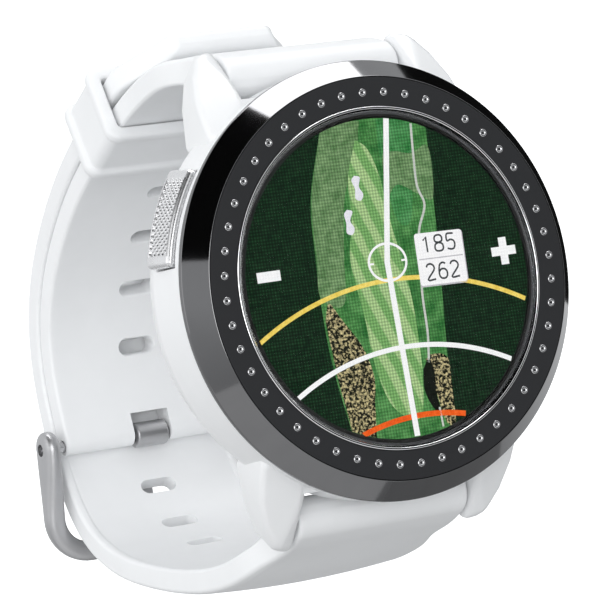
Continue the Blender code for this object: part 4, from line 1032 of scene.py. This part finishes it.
def make_tongue():
    """A loop round the pin, then a strip out through the slot and down to the far bar."""
    out = TAIL.outward(TAIL.nearest(PIVOT))
    down = np.array((out[1], -out[0]))
    half, bend = 0.45, 1.0
    run = LAYER_GAP + 1.5 * THICK + 0.45 + half
    turn_centre = PIVOT + out * (run - bend) + down * bend
    line = [PIVOT + out * d for d in (1.1, 1.7, 2.3, 3.0, run - bend)]
    for k in range(1, 11):
        angle = math.radians(86 * k / 10)
        line.append(turn_centre + (out * math.sin(angle) - down * math.cos(angle)) * bend)
    foot = np.array(FAR_BAR)
    rest, _ = frame_down()
    side = np.array((-rest[1], rest[0]))
    over = foot + side * (FAR_BAR_R + 0.15 + half)
    start = line[-1]
    line += [start * (1 - t) + over * t for t in (0.17, 0.35, 0.52, 0.7, 0.85)]
    line += [over, over + rest * 0.7 - side * 0.04, over + rest * 1.25 - side * 0.09]
    rows = []
    for i, position in enumerate(line):
        a, b = line[max(i - 1, 0)], line[min(i + 1, len(line) - 1)]
        d = (b - a) / np.linalg.norm(b - a)
        share = i / (len(line) - 1)
        width = 1.55 - 0.2 * share
        thick = half * (0.75 if i == len(line) - 1 else 1.0)
        if i == len(line) - 1:
            width -= 0.15
        right = [(0, thick), (width - 0.3, thick)]
        right += [(width - 0.3 * (1 - math.sin(q)), thick - 0.3 * (1 - math.cos(q)))
                  for q in (0.4, 0.8, 1.2)]
        right += [(x, -t) for x, t in reversed(right)]
        rows.append(section_at(position, (-d[1], d[0]), mirrored(right)))
    prong = loft("tongue", rows)
    boolean(prong, [across(1.45, 1.95, *PIVOT, 48, 0.25, "loop")], "UNION")
    boolean(prong, [across(0.7, 6, *PIVOT, 32)])
    piece(prong, "buckle_prong", "tongue", "satin_steel", ["buckle_tongue"], smooth=40)


def make_keeper():
    """A free loop: raised rims at both edges with a shallow channel between."""
    s = TAIL.nearest((24.6, 23.6))
    position, direction = TAIL.at(s)
    normal = TAIL.outward(s)
    centre = position - normal * (THICK + LAYER_GAP) / 2
    ahead = -direction
    inner_x = HALF + 0.3
    inner_t = THICK + LAYER_GAP / 2 + 0.3

    def loop(half_x, half_t, radius):
        points = []
        corners = ((1, 1), (-1, 1), (-1, -1), (1, -1))
        for quarter, (sx, st) in enumerate(corners):
            for k in range(9):
                angle = math.pi / 2 * (quarter + k / 8)
                points.append((sx * (half_x - radius) + radius * math.cos(angle),
                               st * (half_t - radius) + radius * math.sin(angle)))
            nx, nt = corners[(quarter + 1) % 4]
            angle = math.pi / 2 * (quarter + 1)
            start = np.array(points[-1])
            stop = np.array((nx * (half_x - radius) + radius * math.cos(angle),
                             nt * (half_t - radius) + radius * math.sin(angle)))
            for f in np.linspace(0, 1, 9)[1:-1]:
                points.append(tuple(start * (1 - f) + stop * f))
        return points

    outer = loop(inner_x + KEEPER_WALL, inner_t + KEEPER_WALL, 1.5)
    inner = loop(inner_x, inner_t, 0.5)
    end = KEEPER_LENGTH / 2
    half = [(0.0, 0.70), (end - 1.75, 0.70), (end - 1.45, 0.73), (end - 1.25, 0.90),
            (end - 1.05, 0.985), (end - 0.85, 1.0), (end - 0.35, 1.0), (end - 0.12, 0.94),
            (end, 0.76), (end, 0.25), (end - 0.08, 0.08), (end - 0.3, 0.0), (end - 1.5, 0.0)]
    profile = half + [(-a, f) for a, f in reversed(half[1:])]
    bm = bmesh.new()
    rings = []
    for (xo, to), (xi, ti) in zip(outer, inner):
        ring = []
        for a, f in profile:
            x, t = xi + (xo - xi) * f, ti + (to - ti) * f
            yz = centre + normal * t + ahead * a
            ring.append(bm.verts.new(Vector((x, *yz)) * MM))
        rings.append(ring)
    count = len(profile)
    for i, a in enumerate(rings):
        b = rings[(i + 1) % len(rings)]
        for k in range(count):
            n = (k + 1) % count
            bm.faces.new((a[k], a[n], b[n], b[k]))
    loop_obj = new_object("keeper", to_mesh("keeper", bm))
    piece(loop_obj, "keeper_band", "keeper", "white_silicone", ["keeper_loop"], smooth=45)


def make_back():
    """The back cover, with screw holes, contact holes, a fine ring and the inner tray's seat."""
    back = lathe("back", rounded([(0, 2.4), (18.7, 2.4), (18.7, 0.9), (16.2, 0.0), (0, 0.0)], 0.4,
                                 4, closed=False), 160, closed=False)
    cuts = []
    screw_hole = [(0, 4.0), (0.75, 4.0), (0.75, 1.55), (1.2, 1.55), (1.2, -1.5), (0, -1.5)]
    contact_hole = [(0, 4.0), (0.9, 4.0), (0.9, 0.25), (1.05, 0.0), (1.05, -1.0), (0, -1.0)]
    for i, centre in enumerate(screw_places()):
        cuts.append(lathe("hole", screw_hole, 32, closed=False, centre=centre))
        place = ((i - 1.5) * CONTACT_PITCH, CONTACT_ROW_Z)
        cuts.append(lathe("hole", contact_hole, 32, closed=False, centre=place))
    ring = rounded([(14.6, 0.12), (14.6, -0.5), (14.2, -0.5), (14.2, 0.12)], 0.1, 2)
    cuts.append(lathe("ring", ring, 160))
    seat = [(16.1, 3.4), (16.1, 2.1), (15.5, 2.1), (15.5, 3.4)]
    cuts.append(lathe("seat", seat, 96))
    boolean(back, cuts)
    piece(back, "case_back_cover", "case", "back_plastic", ["case_back"], smooth=35)


# ---------------------------------------------------------------- carried-over CAD nodes

NODE_FINISH = {
    "battery": "battery_foil", "board_screw": "steel", "button_clip": "steel",
    "button_seal": "seal_rubber", "button_switch": "chip_black", "case_back_gasket": "seal_rubber",
    "case_back_screw": "steel", "charging_contact": "contact_gold", "crystal_gasket": "seal_rubber",
    "display_flex": "flex_amber", "gps_antenna": "antenna_ceramic", "gps_receiver": "chip_black",
    "inner_chassis": "chassis_plastic", "main_board": "circuit_board", "shield_can": "steel",
    "spring_bar": "steel", "vibration_motor": "steel", "vibration_weight": "weight_grey",
}


def finish_nodes():
    """Give every carried-over CAD node its finish, with smooth shading on its round faces."""
    for name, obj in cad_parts.items():
        for start, slot in NODE_FINISH.items():
            if name == start or name.startswith(start + "_"):
                if not obj.data.materials:
                    obj.data.materials.append(FINISH[slot])
                for entry in obj.material_slots:
                    entry.material = FINISH[slot]
        obj.data.shade_smooth()
        obj.data.set_sharp_from_angle(angle=math.radians(35))


# ---------------------------------------------------------------- studio

def stage_material(name, colour, glow, rough, spread, grain, bump, mottle):
    """A matt studio surface that may give off its own light."""
    return surface(name, colour, rough, spread, grain, bump, 0.2, mottle=mottle,
                   Emission_Color=(1, 1, 1, 1), Emission_Strength=glow, Specular_IOR_Level=0.0)


def make_studio():
    """A pale floor that sweeps up all round; only the camera and clear surfaces see it."""
    floor_z, radius, rise = -0.085, 2.2, 0.8
    bm = bmesh.new()
    profile = [(0.0, floor_z), (0.4, floor_z), (radius - rise, floor_z)]
    for k in range(1, 13):
        turn = math.pi / 2 * k / 12
        profile.append((radius - rise + rise * math.sin(turn),
                        floor_z + rise * (1 - math.cos(turn))))
    profile.append((radius, 3.0))
    rings = []
    for i in range(64):
        rings.append([bm.verts.new((*polar(r, math.tau * i / 64), z)) for r, z in profile])
    for i, a in enumerate(rings):
        b = rings[(i + 1) % 64]
        for k in range(len(profile) - 1):
            bm.faces.new((a[k], b[k], b[k + 1], a[k + 1]))
    floor = new_object("studio_floor", to_mesh("studio_floor", bm))
    floor.data.materials.append(stage_material("floor_white", (0.9, 0.91, 0.905, 1), 0.72, 0.9,
                                               0.03, 40.0, 0.02, 0.004))
    floor.data.shade_smooth()
    floor.visible_diffuse = floor.visible_glossy = floor.visible_shadow = False


def panel_light(name, place, size, power):
    """A soft rectangular light that faces the watch."""
    data = bpy.data.lights.new(name, "AREA")
    data.shape = "RECTANGLE"
    data.size, data.size_y = size
    data.energy = power
    obj = bpy.data.objects.new(name, data)
    SCENE.objects.link(obj)
    obj.location = place
    obj.rotation_euler = (-Vector(place)).to_track_quat("-Z", "Y").to_euler()


def flag(name, direction, distance, size, value, glow=0.0):
    """A card that only polished and clear surfaces see, dark or lit."""
    toward = Vector(direction).normalized()
    centre = toward * distance
    turn = toward.to_track_quat("Z", "Y").to_matrix().to_4x4()
    bm = bmesh.new()
    bmesh.ops.create_grid(bm, x_segments=4, y_segments=4, size=0.5)
    bmesh.ops.scale(bm, vec=(size[0], size[1], 1), verts=bm.verts)
    bm.transform(Matrix.Translation(centre) @ turn)
    card = new_object(name, to_mesh(name, bm))
    card.data.materials.append(stage_material(name + "_cloth", (value, value, value, 1), glow, 0.9,
                                              0.03, 300.0, 0.1, 0.04))
    card.visible_camera = card.visible_diffuse = card.visible_shadow = False


def make_lights():
    """Air that is dimmer from below, three soft lights, and the cards round the watch."""
    world = bpy.data.worlds.new("studio_air")
    bpy.context.scene.world = world
    world.use_nodes = True
    tree = world.node_tree
    background = adjust(tree.nodes["Background"], Color=(0.97, 0.985, 1.0, 1))
    place = tree.nodes.new("ShaderNodeTexCoord")
    parts = tree.nodes.new("ShaderNodeSeparateXYZ")
    level = node(tree, "ShaderNodeMapRange", From_Min=-0.9, From_Max=0.05, To_Min=0.35,
                 To_Max=0.85)
    tree.links.new(place.outputs["Generated"], parts.inputs["Vector"])
    tree.links.new(parts.outputs["Z"], level.inputs["Value"])
    tree.links.new(level.outputs["Result"], background.inputs["Strength"])
    panel_light("top_soft", (-0.15, -0.25, 0.75), (0.9, 0.5), 0.15)
    panel_light("left_soft", (-0.8, 0.1, 0.25), (0.6, 0.8), 0.9)
    panel_light("camera_side_fill", (-0.58, -0.75, 0.06), (0.6, 0.6), 3.4)
    flag("card_top", (0.21, 0.08, 0.974), 0.62, (0.46, 0.45), 0.8, 5.0)
    flag("card_low_left", (-0.30, -0.16, -0.90), 0.6, (1.1, 0.9), 0.5, 0.32)
    flag("flag_upper_left", (-0.42, -0.16, 0.88), 0.6, (0.62, 0.44), 0.01)
    flag("flag_left", (-0.86, -0.32, 0.62), 0.62, (0.42, 0.34), 0.01)
    flag("flag_right", (0.79, 0.50, 0.34), 0.6, (0.40, 0.50), 0.01)
    flag("flag_below", (0.62, 0.16, -0.80), 0.5, (0.36, 0.36), 0.3)
    flag("flag_front", (0.48, -0.88, 0.03), 0.9, (0.7, 0.7), 0.004)


def make_camera():
    """A long lens, 0.38 m in front of the watch and to its left, turned a little about its axis."""
    data = bpy.data.cameras.new("camera")
    camera = bpy.data.objects.new("camera", data)
    SCENE.objects.link(camera)
    data.sensor_width = 36.0
    data.lens = 220.2
    right = Vector((0.86974, -0.46773, -0.15741))
    up = Vector((0.12629, -0.09741, 0.98720))
    back = -Vector((0.47707, 0.87849, 0.02565))
    camera.matrix_world = Matrix((
        (right.x, up.x, back.x, -0.18390),
        (right.y, up.y, back.y, -0.33281),
        (right.z, up.z, back.z, -0.01023),
        (0, 0, 0, 1)))
    data.clip_start, data.clip_end = 0.01, 20
    bpy.context.scene.camera = camera
    bpy.context.scene.view_settings.view_transform = "Standard"


make_case()
make_bezel()
make_crystal()
make_display()
make_button()
make_tail_half()
make_buckle_half()
make_buckle()
make_tongue()
make_keeper()
make_back()
finish_nodes()
make_studio()
make_lights()
make_camera()
